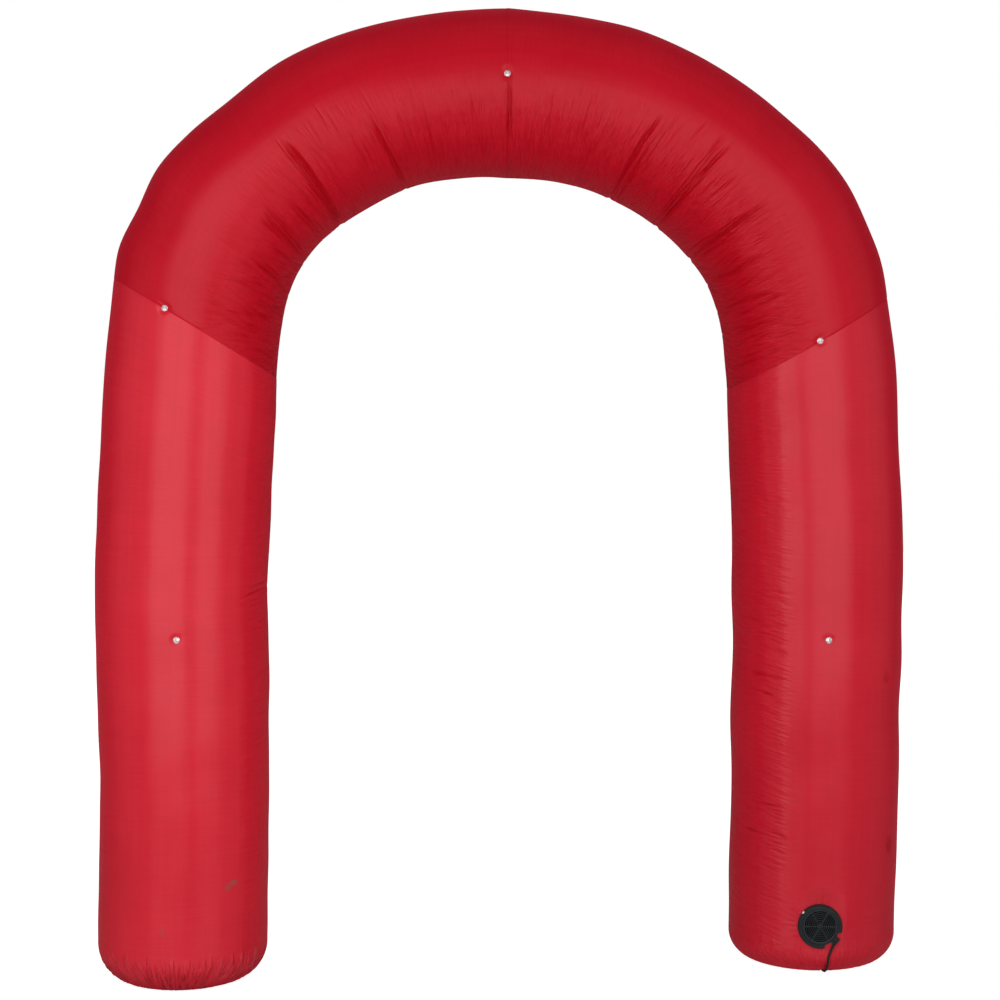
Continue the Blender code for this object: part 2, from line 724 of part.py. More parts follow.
def even_steps(points, step):
    """Read points a step apart from one smooth curve through the given ones."""
    ends = [points[0] * 2 - points[1]] + points + [points[-1] * 2 - points[-2]]
    fine = []
    for index in range(1, len(ends) - 2):
        before, low, high, after = ends[index - 1:index + 3]
        for part in range(40):
            t = part / 40.0
            square = 2 * before - 5 * low + 4 * high - after
            cube = 3 * low - before - 3 * high + after
            fine.append(0.5 * (2 * low + (high - before) * t + square * t**2 + cube * t**3))
    fine.append(points[-1])
    lengths = np.concatenate(([0.0], np.cumsum([(b - a).length for a, b in zip(fine, fine[1:])])))
    count = max(2, round(lengths[-1] / step))
    wanted = np.linspace(0.0, lengths[-1], count + 1)
    return [Vector([float(np.interp(place, lengths, [point[axis] for point in fine])) for axis in range(3)])
            for place in wanted]


def make_tube(name, points, radius, collection, material):
    """Build a round tube along points."""
    curve = bpy.data.curves.new(name, "CURVE")
    curve.dimensions = "3D"
    curve.bevel_depth = radius
    curve.bevel_resolution = 2
    curve.use_fill_caps = True
    spline = curve.splines.new("POLY")
    spline.points.add(len(points) - 1)
    for target, point in zip(spline.points, points):
        target.co = (*point, 1.0)
    curve.materials.append(material)
    tube = bpy.data.objects.new(name, curve)
    collection.objects.link(tube)
    return tube


def coil_centre():
    """Return the middle of the coil on the floor."""
    return Vector((LEAD_X + coil_turn_radius(), COIL_Y, 0.0))


def make_coil(collection, material):
    """Build the coil's solid: a turned ring of the outer shape of its turns."""
    inner, outer = coil_radii()
    low = COIL_LIFT
    high = low + COIL_LAYERS * 2 * LEAD_RADIUS
    edge = COIL_EDGE
    profile = ((inner, high - edge), (inner + edge, high), (outer - edge, high), (outer, high - edge),
               (outer, low + edge), (outer - edge, low), (inner + edge, low), (inner, low + edge),
               (inner, high - edge))
    return turned("cord_coil", profile, 36, Matrix.Translation(coil_centre()), collection, material)


def make_tie(collection, cutters, material):
    """Build the band that holds the coil's turns together."""
    inner, outer = coil_radii()
    near, far = inner - TIE_SLACK, outer + TIE_SLACK
    low = COIL_LIFT - TIE_SLACK
    high = COIL_LIFT + COIL_LAYERS * 2 * LEAD_RADIUS + TIE_SLACK
    frame = Matrix.Translation(coil_centre()) @ Matrix.Rotation(math.radians(TIE_ANGLE), 4, "Z")
    half = TIE_WIDTH / 2
    tie = box_object("cord_tie", (near - TIE_THICKNESS, -half, low - TIE_THICKNESS),
                     (far + TIE_THICKNESS, half, high + TIE_THICKNESS), collection, material)
    tie.matrix_world = frame
    hole = box_cutter("tie_hole", (near, -TIE_WIDTH, low), (far, TIE_WIDTH, high), frame, cutters)
    combine(tie, hole, "DIFFERENCE")
    return settle(tie)


def make_plug(collection, cutters, material):
    """Build the plug: a sleeve, a body with soft edges and two flat blades."""
    length, width, height = PLUG_BODY
    radius = coil_turn_radius()
    wall = coil_radii()[1]
    side = radius - SLEEVE_NARROW
    start = coil_centre() + Vector((math.sqrt(wall * wall - side * side) + 2 * FIT_GAP, radius,
                                    height / 2 + FIT_GAP))
    frame = Matrix.Translation(start)
    body = box_object("plug", (PLUG_SLEEVE, -width / 2, -height / 2),
                      (PLUG_SLEEVE + length, width / 2, height / 2), collection, material)
    body.matrix_world = frame
    edges = body.modifiers.new("soft edges", "BEVEL")
    edges.width = PLUG_EDGE
    edges.segments = 2
    aim = frame @ Matrix.Rotation(math.radians(90.0), 4, "Y")
    work = bmesh.new()
    depth = PLUG_SLEEVE + PLUG_EDGE
    bmesh.ops.create_cone(work, cap_ends=True, segments=16, radius1=SLEEVE_NARROW, radius2=SLEEVE_WIDE,
                          depth=depth, matrix=Matrix.Translation((0.0, 0.0, depth / 2)))
    mesh = bpy.data.meshes.new("plug_sleeve")
    work.to_mesh(mesh)
    work.free()
    combine(body, hide_cutter(make_object("plug_sleeve", mesh, cutters), aim), "UNION")
    for side_sign in (-1.0, 1.0):
        y = side_sign * BLADE_SPACING / 2
        blade = box_cutter("blade_%d" % side_sign,
                           (PLUG_SLEEVE + length - BLADE_ROOT, y - BLADE[1] / 2, -BLADE[2] / 2),
                           (PLUG_SLEEVE + length + BLADE[0], y + BLADE[1] / 2, BLADE[2] / 2), frame, cutters)
        combine(body, blade, "UNION")
    return settle(body)


def make_relief(frame, collection, material):
    """Build the tapered relief where the lead leaves the tab."""
    start, way = exit_place(frame)
    aim = seat_frame(start + way * FIT_GAP, way, 0.0)
    profile = ((0.0, RELIEF_LENGTH), (RELIEF_NARROW, RELIEF_LENGTH), (RELIEF_WIDE, RELIEF_START),
               (0.0, RELIEF_START))
    return turned("cord_relief", profile, 16, aim, collection, material)


def main():
    """Build the arch."""
    for old in list(bpy.data.objects):
        bpy.data.objects.remove(old)
    parts = bpy.data.collections.new("inflatable_arch")
    cutters = bpy.data.collections.new("cutters")
    for collection in (parts, cutters):
        bpy.context.scene.collection.children.link(collection)

    leg_cloth = make_material("red leg cloth", (0.55, 0.02, 0.03), 0.6)
    crown_cloth = make_material("red crown cloth", (0.42, 0.01, 0.02), 0.6)
    clear = make_material("clear plastic", (0.75, 0.72, 0.72), 0.15)
    black = make_material("black plastic", (0.02, 0.022, 0.024), 0.45)
    rubber = make_material("black lead", (0.015, 0.015, 0.016), 0.5)

    left_rows = leg_top(LEFT_LEG, LEFT_CROWN, LEFT_SEAM)
    right_rows = leg_top(RIGHT_LEG, RIGHT_CROWN, RIGHT_SEAM)
    frame = blower_frame(right_rows)
    leg_left = make_leg("leg_left", left_rows, LEFT_LEG_CREASES, -1.0, LEFT_HEIGHTS, parts, leg_cloth)
    leg_right = make_leg("leg_right", right_rows, RIGHT_LEG_CREASES, 1.0, RIGHT_HEIGHTS, parts, leg_cloth,
                         frame)
    crown_left = make_crown("crown_left", LEFT_CROWN, LEFT_CROWN_CREASES, LEFT_SEAM, parts, crown_cloth)
    crown_right = make_crown("crown_right", RIGHT_CROWN, RIGHT_CROWN_CREASES, RIGHT_SEAM, parts,
                             crown_cloth)

    height, turn = LEG_LEFT_BUTTON
    place = tube_place(leg_rib(left_rows, height), turn)
    make_button("button_leg_left", seat_frame(*place, BUTTON_SINK), [leg_left], parts, cutters, clear)
    height, turn = LEG_RIGHT_BUTTON
    place = tube_place(leg_rib(right_rows, height), turn)
    make_button("button_leg_right", seat_frame(*place, BUTTON_SINK), [leg_right], parts, cutters, clear)
    place = tube_place(crown_rib(LEFT_CROWN, LEFT_SEAM), HAUNCH_LEFT_TURN)
    make_button("button_haunch_left", seat_frame(*place, SEAM_BUTTON_SINK), [leg_left, crown_left], parts,
                cutters, clear)
    place = tube_place(crown_rib(RIGHT_CROWN, RIGHT_SEAM), HAUNCH_RIGHT_TURN)
    make_button("button_haunch_right", seat_frame(*place, SEAM_BUTTON_SINK), [leg_right, crown_right], parts,
                cutters, clear)
    point, normal = tube_place(crown_rib(LEFT_CROWN, CROWN_SEAM), CROWN_TURN)
    crown_seat = seat_frame(skewed(point, CROWN_SEAM), normal, SEAM_BUTTON_SINK)
    make_button("button_crown", crown_seat, [crown_left, crown_right], parts, cutters, clear)

    seat = cylinder_cutter("flange_seat", FLANGE_RADIUS + 0.0012, -FIT_GAP, 0.04, frame, cutters)
    pocket = cylinder_cutter("cup_pocket", CUP_RADIUS + FIT_GAP, -CUP_DEPTH - FIT_GAP, 0.01, frame, cutters)
    combine(leg_right, seat, "DIFFERENCE")
    combine(leg_right, pocket, "DIFFERENCE")
    half = CHANNEL_WIDTH / 2
    channel = box_cutter("lead_channel", (LEAD_X - half, CHANNEL_FRONT, -CHANNEL_HEIGHT),
                         (LEAD_X + half, CHANNEL_BACK, CHANNEL_HEIGHT), Matrix.Identity(4), cutters)
    combine(leg_right, channel, "DIFFERENCE")

    make_blower_body(frame, parts, cutters, black)
    make_grille(frame, parts, black)
    make_relief(frame, parts, rubber)
    route = even_steps(lead_route(right_rows, frame), LEAD_STEP)
    make_tube("cord", route, LEAD_RADIUS, parts, rubber)
    make_coil(parts, rubber)
    make_tie(parts, cutters, rubber)
    make_plug(parts, cutters, rubber)


main()
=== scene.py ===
"""Looks of an air-filled walk-through arch of red cloth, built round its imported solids."""

import logging
import math
from collections.abc import Callable, Sequence
from dataclasses import dataclass, field
from enum import Enum
from typing import Union

import bmesh
import bpy
import numpy as np
from mathutils import Matrix, Vector


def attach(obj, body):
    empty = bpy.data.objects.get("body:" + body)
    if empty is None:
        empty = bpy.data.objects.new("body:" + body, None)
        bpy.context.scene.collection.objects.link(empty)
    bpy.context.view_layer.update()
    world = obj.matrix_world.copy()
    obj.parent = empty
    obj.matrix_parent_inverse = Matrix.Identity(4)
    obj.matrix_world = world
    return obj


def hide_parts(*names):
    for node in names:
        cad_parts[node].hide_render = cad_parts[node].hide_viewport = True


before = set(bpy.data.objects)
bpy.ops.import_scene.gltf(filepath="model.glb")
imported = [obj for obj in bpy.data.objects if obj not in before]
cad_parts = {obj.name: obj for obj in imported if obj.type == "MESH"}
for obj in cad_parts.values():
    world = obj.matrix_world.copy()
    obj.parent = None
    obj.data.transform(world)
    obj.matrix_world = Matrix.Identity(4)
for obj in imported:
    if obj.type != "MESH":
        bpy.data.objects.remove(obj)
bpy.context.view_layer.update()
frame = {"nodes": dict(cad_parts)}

LOG = logging.getLogger("arch")
BODY = "root"
FAN_X = 0.003
FAN_HEIGHT = 1.280
TUBE_DEPTH = 0.241
LEFT_SEAM = 148.8
RIGHT_SEAM = 30.1
# Depths of creases, pleats and seam tucks that give the full painted crease shade in the cloth's colour.
MAIN_SHADE_DEPTH = 0.0065
FINE_SHADE_DEPTH = 0.0052
PLEAT_SHADE_DEPTH = 0.0050
SEAM_SHADE_DEPTH = 0.0080
HEM = 0.014
FILL = 0.9
CROWN_DEGREE = math.radians(1.0) * 1.2
CROWN_SEAM = 90.0
FOOT_TOP = 0.14

Array = np.ndarray
Triple = tuple[float, float, float]
Colour = tuple[float, float, float, float]


def smooth(value: Array | float) -> Array:
    """Ease from 0 to 1 with level ends."""
    held = np.clip(value, 0.0, 1.0)
    return held * held * (3.0 - 2.0 * held)


def bell(value: Array) -> Array:
    """Return a rounded peak of height 1 that fades out on both sides."""
    return np.exp(-value * value)


def spaced(*runs: Triple) -> Array:
    """Return places along runs of (start, end, step), each run without its end.

    Args:
        runs: The runs, in order.

    Returns:
        The places, with the last run's end as the last of them.
    """
    places: list[float] = []
    for start, end, step in runs:
        count = max(1, round((end - start) / step))
        places += [start + (end - start) * index / count for index in range(count)]
    return np.array(places + [runs[-1][1]])


# ---------------------------------------------------------------------------------------------
# Shader maths
# ---------------------------------------------------------------------------------------------


class Field:
    """A value that changes over a surface: one socket of a finish, usable in sums."""

    def __init__(self, paint: "Paint", socket: bpy.types.NodeSocket) -> None:
        """Keep the finish that the socket belongs to."""
        self.paint = paint
        self.socket = socket

    def _sum(self, operation: str, first: "Value", second: "Value" = 0.0, third: "Value" = 0.0) -> "Field":
        """Add one Math node.

        Args:
            operation: What the node works out.
            first: Its first value.
            second: Its second value.
            third: Its third value.

        Returns:
            The node's result.
        """
        return self.paint.node("ShaderNodeMath", {"operation": operation}, {0: first, 1: second, 2: third})

    def __add__(self, other: "Value") -> "Field":
        """Return the sum."""
        return self._sum("ADD", self, other)

    __radd__ = __add__

    def __sub__(self, other: "Value") -> "Field":
        """Return the difference."""
        return self._sum("SUBTRACT", self, other)

    def __rsub__(self, other: "Value") -> "Field":
        """Return the difference from another value."""
        return self._sum("SUBTRACT", other, self)

    def __mul__(self, other: "Value") -> "Field":
        """Return the product."""
        return self._sum("MULTIPLY", self, other)

    __rmul__ = __mul__

    def sine(self) -> "Field":
        """Return the sine."""
        return self._sum("SINE", self)

    def ease(self, low: float, high: float) -> "Field":
        """Ease from 0 to 1 between two values.

        Args:
            low: The value that gives 0.
            high: The value that gives 1.

        Returns:
            The eased value, with level ends.
        """
        settings = {"interpolation_type": "SMOOTHSTEP"}
        return self.paint.node("ShaderNodeMapRange", settings, {"Value": self, "From Min": low, "From Max": high})


Value = Union[Field, float, Sequence[float]]


class Paint:
    """One finish's nodes, all of them added by one method."""

    def __init__(self, owner: bpy.types.Material | bpy.types.World) -> None:
        """Start with an empty finish for a material or the surroundings."""
        self.owner = owner
        owner.use_nodes = True
        self.tree = owner.node_tree
        self.tree.nodes.clear()

    @classmethod
    def new(cls, name: str) -> "Paint":
        """Start a new material's finish."""
        return cls(bpy.data.materials.new(name))

    def node(self, kind: str, settings: dict[str, object] | None = None,
             sockets: dict[int | str, Value] | None = None, out: int | str = 0) -> Field:
        """Add a node.

        Args:
            kind: The node's type.
            settings: Its settings, which are set first. Stops are a ramp's places and colours.
            sockets: The values or links of its inputs.
            out: The output to return.

        Returns:
            That output.
        """
        made = self.tree.nodes.new(kind)
        for key, setting in (settings or {}).items():
            if key == "stops":
                self._set_stops(made, setting)
            else:
                setattr(made, key, setting)
        for key, value in (sockets or {}).items():
            if isinstance(value, Field):
                self.tree.links.new(value.socket, made.inputs[key])
            else:
                made.inputs[key].default_value = value
        return Field(self, made.outputs[out])

    @staticmethod
    def _set_stops(made: bpy.types.Node, stops: Sequence[tuple[float, Colour]]) -> None:
        """Give a ramp its stops.

        Args:
            made: The ramp's node.
            stops: Each stop's place and colour.
        """
        ramp = made.color_ramp
        while len(ramp.elements) < len(stops):
            ramp.elements.new(0.5)
        for element, (place, colour) in zip(ramp.elements, stops):
            element.position = place
            element.color = colour

    def place(self) -> Field:
        """Return the point on the object, in metres."""
        return self.node("ShaderNodeTexCoord", out="Object")

    def stretched(self, source: Field, scale: Triple) -> Field:
        """Stretch coordinates.

        Args:
            source: The coordinates.
            scale: How often the pattern comes in a metre, each way.

        Returns:
            The stretched coordinates.
        """
        return self.node("ShaderNodeVectorMath", {"operation": "MULTIPLY"}, {0: source, 1: scale})

    def noise(self, source: Field, scale: float = 1.0, detail: float = 3.0, rough: float = 0.55) -> Field:
        """Return soft noise from 0 to 1.

        Args:
            source: The coordinates.
            scale: The noise's scale on them.
            detail: How many finer layers it has.
            rough: How strong the finer layers are.

        Returns:
            The noise.
        """
        sockets = {"Vector": source, "Scale": scale, "Detail": detail, "Roughness": rough}
        return self.node("ShaderNodeTexNoise", {}, sockets, "Fac")

    def mixed(self, mask: Value, plain: Value, other: Value) -> Field:
        """Mix two colours.

        Args:
            mask: 0 for the first colour and 1 for the second.
            plain: The first colour.
            other: The second colour.

        Returns:
            The mixed colour.
        """
        return self.node("ShaderNodeMix", {"data_type": "RGBA"}, {0: mask, 6: plain, 7: other}, 2)

    def bumped(self, height: Field, distance: float, strength: float = 1.0, under: Field | None = None) -> Field:
        """Turn a height into a normal.

        Args:
            height: The height, from 0 to 1.
            distance: How far 1 stands out, in metres.
            strength: How much of it is used.
            under: A normal from a coarser bump.

        Returns:
            The normal.
        """
        sockets: dict[int | str, Value] = {"Height": height, "Distance": distance, "Strength": strength}
        if under:
            sockets["Normal"] = under
        return self.node("ShaderNodeBump", {}, sockets)

    def surface(self, **sockets: Value) -> Field:
        """Add a surface shader.

        Args:
            sockets: Its inputs, with their names joined by underscores.

        Returns:
            The shader.
        """
        named = {key.replace("_", " "): value for key, value in sockets.items()}
        return self.node("ShaderNodeBsdfPrincipled", {}, named)

    def done(self, shader: Field, kind: str = "ShaderNodeOutputMaterial") -> bpy.types.Material:
        """Link a shader to the output and return what it belongs to."""
        made = self.tree.nodes.new(kind)
        self.tree.links.new(shader.socket, made.inputs["Surface"])
        return self.owner


# ---------------------------------------------------------------------------------------------
# Finishes
# ---------------------------------------------------------------------------------------------


@dataclass(frozen=True)
class Stain:
    """A mark on the cloth: where it is, its size each way, its colour and its strength."""

    centre: Triple
    size: Triple
    colour: Colour
    strength: float
    ragged: float = 30.0


@dataclass(frozen=True)
class ClothFinish:
    """Thin woven polyester: a soft sheen, slubs, a fine weave, fine crush lines and light through it, with painted
    shade in its creases and seams, and painted shade and highlight on the gathers at the foot.
    """

    name: str
    base: Colour
    light: Colour
    # The colour of the painted shade in creases and seams.
    fold_shade: Colour
    roughness: float
    gloss: float
    tint: Colour
    crush: float
    reach: tuple[float, float, float, float]
    lean: tuple[float, float]
    gather: float = 0.0
    sheer: float = 0.42
    stains: tuple[Stain, ...] = ()

    def build(self) -> bpy.types.Material:
        """Return the cloth's material."""
        paint = Paint.new(self.name)
        threads = paint.node("ShaderNodeUVMap", {"uv_map": "threads"})
        place = paint.place()
        weft = paint.noise(paint.stretched(threads, (560.0, 12.0, 0.0)), 1.0, 2.0)
        slub = paint.noise(paint.stretched(threads, (120.0, 2.5, 0.0)), 1.0, 3.0, 0.6)
        warp = paint.noise(paint.stretched(threads, (2.0, 64.0, 0.0)), 1.0, 2.0)
        patches = paint.noise(place, 4.0, 3.0)
        tone = weft * 0.30 + slub * 0.16 + warp * 0.18 + patches * 0.36
        colour = paint.mixed(tone.ease(0.36, 0.64), self.base, self.light)
        # Painted shade: the colour is darkened towards the crease colour where the cloth lies deep in a crease, pleat
        # or seam tuck.
        fold_shade_mask = paint.node("ShaderNodeAttribute", {"attribute_name": "fold_shade"}, {}, "Fac")
        colour = paint.mixed(fold_shade_mask.ease(0.06, 0.90), colour, self.fold_shade)
        for stain in self.stains:
            colour = paint.mixed(self._mark(paint, place, stain), colour, stain.colour)
        along = paint.node("ShaderNodeSeparateXYZ", {}, {0: threads}, 0)
        across = paint.node("ShaderNodeSeparateXYZ", {}, {0: threads}, 1)
        pitch = 2.0 * math.pi / 0.0016
        weave = (along * pitch).sine() * (across * pitch).sine()
        start, full, last, end = self.reach
        worked = across.ease(start, full) * (1.0 - across.ease(last, end))
        base_lean, more_lean = self.lean
        leant = along + across * (along * more_lean + base_lean)
        lines = paint.noise(paint.node("ShaderNodeCombineXYZ", {}, {0: leant * 110.0, 1: across * 13.0}), 1.0, 3.0)
        broad = paint.noise(paint.node("ShaderNodeCombineXYZ", {}, {0: leant * 46.0, 1: across * 8.0}), 1.0, 3.0)
        crushed = (lines * 0.6 + broad * 0.9) * worked
        normal = paint.bumped(crushed, self.crush)
        if self.gather:
            fan = across - across * along * 2.6
            spread = paint.node("ShaderNodeCombineXYZ", {}, {0: along * 16.0, 1: fan * 150.0})
            tops = paint.noise(paint.stretched(threads, (0.0, 46.0, 0.0)), 1.0, 2.0) * 0.10 + 0.012
            low = (1.0 - (along - tops).ease(-0.01, 0.045)) * along.ease(-0.054, -0.030)
            strokes = paint.noise(spread, 1.0, 3.0, 0.65)
            normal = paint.bumped(strokes * low, self.gather, 1.0, normal)
            shown = min(1.0, self.gather / 0.015)
            # Painted shade in the gathers' troughs and painted highlight on their ridges, since the gathers are only a
            # bump.
            colour = paint.mixed((1.0 - strokes.ease(0.36, 0.50)) * low * (0.85 * shown), colour, GATHER_SHADE)
            colour = paint.mixed(strokes.ease(0.52, 0.64) * low * (0.80 * shown), colour, GATHER_HIGHLIGHT)
        normal = paint.bumped(warp * 0.5 + slub * 0.5, 0.0004, 1.0, normal)
        normal = paint.bumped(weave * 0.5 + weft * 0.5, 0.00006, 0.8, normal)
        rough = self.roughness + (slub - 0.5) * 0.10 + (patches - 0.5) * 0.05
        face = paint.surface(Base_Color=colour, Roughness=rough, Normal=normal, Specular_IOR_Level=self.gloss,
                             Specular_Tint=self.tint, Sheen_Weight=0.85, Sheen_Roughness=0.40,
                             Sheen_Tint=(1.0, 0.06, 0.11, 1.0))
        through = paint.node("ShaderNodeBsdfTranslucent", {}, {"Color": colour, "Normal": normal})
        return paint.done(paint.node("ShaderNodeMixShader", {}, {0: self.sheer, 1: face, 2: through}))

    @staticmethod
    def _mark(paint: Paint, place: Field, stain: Stain) -> Field:
        """Return where a stain lies.

        Args:
            paint: The finish that it is in.
            place: The point on the object.
            stain: The stain.

        Returns:
            Its strength, from 0 to 1.
        """
        away = paint.node("ShaderNodeVectorMath", {"operation": "SUBTRACT"}, {0: place, 1: stain.centre})
        scaled = paint.stretched(away, tuple(1.0 / size for size in stain.size))
        reach = paint.node("ShaderNodeVectorMath", {"operation": "LENGTH"}, {0: scaled}, "Value")
        edge = paint.noise(place, stain.ragged, 4.0, 0.7)
        return (1.0 - (reach + (edge - 0.5) * 1.4).ease(0.35, 1.15)) * stain.strength


@dataclass(frozen=True)
class PlasticFinish:
    """Moulded plastic or vinyl with a fine grain, worn a little smoother in places."""

    name: str
    colour: Colour
    worn: Colour
    roughness: float
    grain: float
    depth: float
    gloss: float = 0.40

    def build(self) -> bpy.types.Material:
        """Return the plastic's material."""
        paint = Paint.new(self.name)
        place = paint.place()
        grain = paint.noise(place, self.grain, 3.0)
        haze = paint.noise(place, 42.0, 4.0, 0.65)
        colour = paint.mixed(haze.ease(0.42, 0.72) * 0.6, self.colour, self.worn)
        rough = self.roughness + (haze - 0.5) * 0.22
        return paint.done(paint.surface(Base_Color=colour, Roughness=rough, Specular_IOR_Level=self.gloss,
                                        Normal=paint.bumped(grain, self.depth)))


@dataclass(frozen=True)
class ClearFinish:
    """Clear moulded plastic over a silvered star, with a dusting of fine scratches."""

    name: str
    colour: Colour
    roughness: float

    def build(self) -> bpy.types.Material:
        """Return the clear plastic's material."""
        paint = Paint.new(self.name)
        place = paint.place()
        cloud = paint.noise(place, 260.0, 3.0)
        scratch = paint.noise(paint.stretched(place, (900.0, 900.0, 120.0)), 1.0, 2.0)
        colour = paint.mixed(cloud.ease(0.35, 0.75), self.colour, (0.86, 0.80, 0.80, 1.0))
        face = paint.surface(Base_Color=colour, Roughness=self.roughness + cloud * 0.06, IOR=1.49,
                             Metallic=cloud.ease(0.40, 0.60) * 0.3 + 0.45, Normal=paint.bumped(scratch, 0.00003),
                             Transmission_Weight=0.45, Coat_Weight=0.4, Coat_Roughness=0.04)
        return paint.done(face)


@dataclass(frozen=True)
class MetalFinish:
    """Plated brass with a brushed grain."""

    name: str
    colour: Colour
    roughness: float

    def build(self) -> bpy.types.Material:
        """Return the metal's material."""
        paint = Paint.new(self.name)
        brush = paint.noise(paint.stretched(paint.place(), (90.0, 1600.0, 1600.0)), 1.0, 3.0)
        colour = paint.mixed(brush, self.colour, (0.52, 0.50, 0.44, 1.0))
        return paint.done(paint.surface(Base_Color=colour, Roughness=self.roughness + brush * 0.18, Metallic=1.0,
                                        Normal=paint.bumped(brush, 0.00004)))


SCUFF: Colour = (0.34, 0.085, 0.075, 1.0)
PALE_SCUFF: Colour = (0.50, 0.13, 0.13, 1.0)
BRIGHT_BLOTCH: Colour = (0.50, 0.0006, 0.004, 1.0)
TINT: Colour = (1.0, 0.95, 0.98, 1.0)
# The colours of the painted shade and the painted highlight on the foot's gathers.
GATHER_SHADE: Colour = (0.34, 0.0004, 0.005, 1.0)
GATHER_HIGHLIGHT: Colour = (0.80, 0.035, 0.060, 1.0)


class Finish(Enum):
    """The arch's finishes."""

    # Painted light and shade: the legs are one cloth, but the left leg's colours are set lighter than the right leg's,
    # after how brightly each is lit.
    LEFT_LEG = ClothFinish("red leg cloth, left, painted lighter", (0.66, 0.014, 0.033, 1.0), (0.74, 0.020, 0.042, 1.0),
                           (0.52, 0.0008, 0.009, 1.0), 0.17, 0.31, TINT, 0.0020,
                           (0.16, 0.22, 0.33, 0.42), (-0.24, 0.0), 0.0150, stains=(
                            Stain((-0.759, -0.22, 0.296), (0.014, 0.06, 0.010), SCUFF, 0.75, 60.0),
                            Stain((-0.774, -0.23, 0.284), (0.012, 0.06, 0.010), SCUFF, 0.65, 60.0),
                            Stain((-0.944, -0.28, 0.180), (0.007, 0.06, 0.018), SCUFF, 0.34, 110.0),
                            Stain((-0.703, -0.13, 0.080), (0.006, 0.09, 0.026), PALE_SCUFF, 0.42, 130.0),
                            Stain((-0.837, -0.20, 0.012), (0.014, 0.08, 0.010), SCUFF, 0.70, 60.0)))
    # Painted shade: the right leg's colours are set darker than the left leg's, after how it is lit.
    RIGHT_LEG = ClothFinish("red leg cloth, right, painted darker", (0.60, 0.009, 0.027, 1.0), (0.67, 0.014, 0.035, 1.0),
                            (0.50, 0.0007, 0.008, 1.0), 0.17, 0.31, TINT, 0.0040,
                            (0.105, 0.155, 0.33, 0.44), (-0.24, 0.0), 0.0030, stains=(
                             Stain((1.081, -0.118, 0.35), (0.016, 0.05, 0.028), BRIGHT_BLOTCH, 1.0),
                             Stain((1.062, -0.150, 0.83), (0.014, 0.05, 0.022), BRIGHT_BLOTCH, 0.6)))
    # Painted shade: the crown is the legs' cloth, its colours set darker and more saturated for how its panels, woven
    # the other way, catch the light.
    CROWN = ClothFinish("red crown cloth, painted darker", (0.54, 0.0026, 0.015, 1.0), (0.60, 0.006, 0.022, 1.0),
                        (0.50, 0.0006, 0.008, 1.0), 0.21, 0.20, TINT, 0.0105,
                        (-0.04, 0.10, 0.50, 0.68), (-0.754, 0.40))
    # Painted shade: the inside of the cup behind the grille is the blower's black plastic set darker and duller, for
    # the shade in that hollow.
    SHADED_CUP = PlasticFinish("cup plastic, painted darker", (0.0012, 0.0014, 0.0018, 1.0), (0.002, 0.0024, 0.003, 1.0), 0.80,
                        900.0, 0.00005, 0.05)
    # Painted highlight: a pale finish for the small lug that stands in for a glint on the flange's edge.
    FLANGE_GLINT = PlasticFinish("pale flange glint", (0.55, 0.55, 0.53, 1.0), (0.66, 0.66, 0.64, 1.0), 0.35, 900.0, 0.00003)
    CLEAR = ClearFinish("clear cap plastic", (0.66, 0.60, 0.60, 1.0), 0.08)
    BLOWER = PlasticFinish("black blower plastic", (0.0034, 0.0056, 0.0070, 1.0), (0.008, 0.012, 0.0145, 1.0), 0.38,
                           1400.0, 0.00006, 0.16)
    # Painted highlight: the grille is the blower's black plastic set lighter, for the light that its rings catch.
    LIT_GRILLE = PlasticFinish("black grille plastic, painted lighter", (0.022, 0.029, 0.033, 1.0), (0.040, 0.048, 0.053, 1.0), 0.30,
                           1200.0, 0.00004, 0.30)
    LEAD = PlasticFinish("black lead vinyl", (0.006, 0.007, 0.008, 1.0), (0.016, 0.016, 0.016, 1.0), 0.42,
                         900.0, 0.00005, 0.20)
    PLUG = PlasticFinish("black plug vinyl", (0.013, 0.013, 0.014, 1.0), (0.034, 0.034, 0.033, 1.0), 0.46,
                         800.0, 0.00008)
    BLADE = MetalFinish("plated blade", (0.66, 0.62, 0.52, 1.0), 0.24)


class Wardrobe:
    """The built materials, each made once."""

    def __init__(self) -> None:
        """Build every finish."""
        self.made = {finish: finish.value.build() for finish in Finish}

    def fit(self, piece: bpy.types.Object, nodes: Sequence[str], slot: str, *finishes: Finish) -> bpy.types.Object:
        """Dress a piece, hide the solids that it stands for and hang it on the body.

        Args:
            piece: The piece.
            nodes: The solids that it stands for.
            slot: Its material slot in the record. Not used.
            finishes: Its finishes, in the order of its material slots.

        Returns:
            The piece.
        """
        for finish in finishes:
            piece.data.materials.append(self.made[finish])
        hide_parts(*nodes)
        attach(piece, BODY)
        LOG.info("%s", piece.name)
        return piece


# ---------------------------------------------------------------------------------------------
# Meshes
# ---------------------------------------------------------------------------------------------


def add_object(name: str, mesh: bpy.types.Mesh, sharp: float = 180.0) -> bpy.types.Object:
    """Put a mesh in the scene, shaded smooth.

    Args:
        name: The piece's name.
        mesh: Its mesh.
        sharp: Edges sharper than this angle stay crisp.

    Returns:
        The object.
    """
    mesh.shade_smooth()
    if sharp < 180.0:
        mesh.set_sharp_from_angle(angle=math.radians(sharp))
    piece = bpy.data.objects.new(name, mesh)
    bpy.context.scene.collection.objects.link(piece)
    return piece


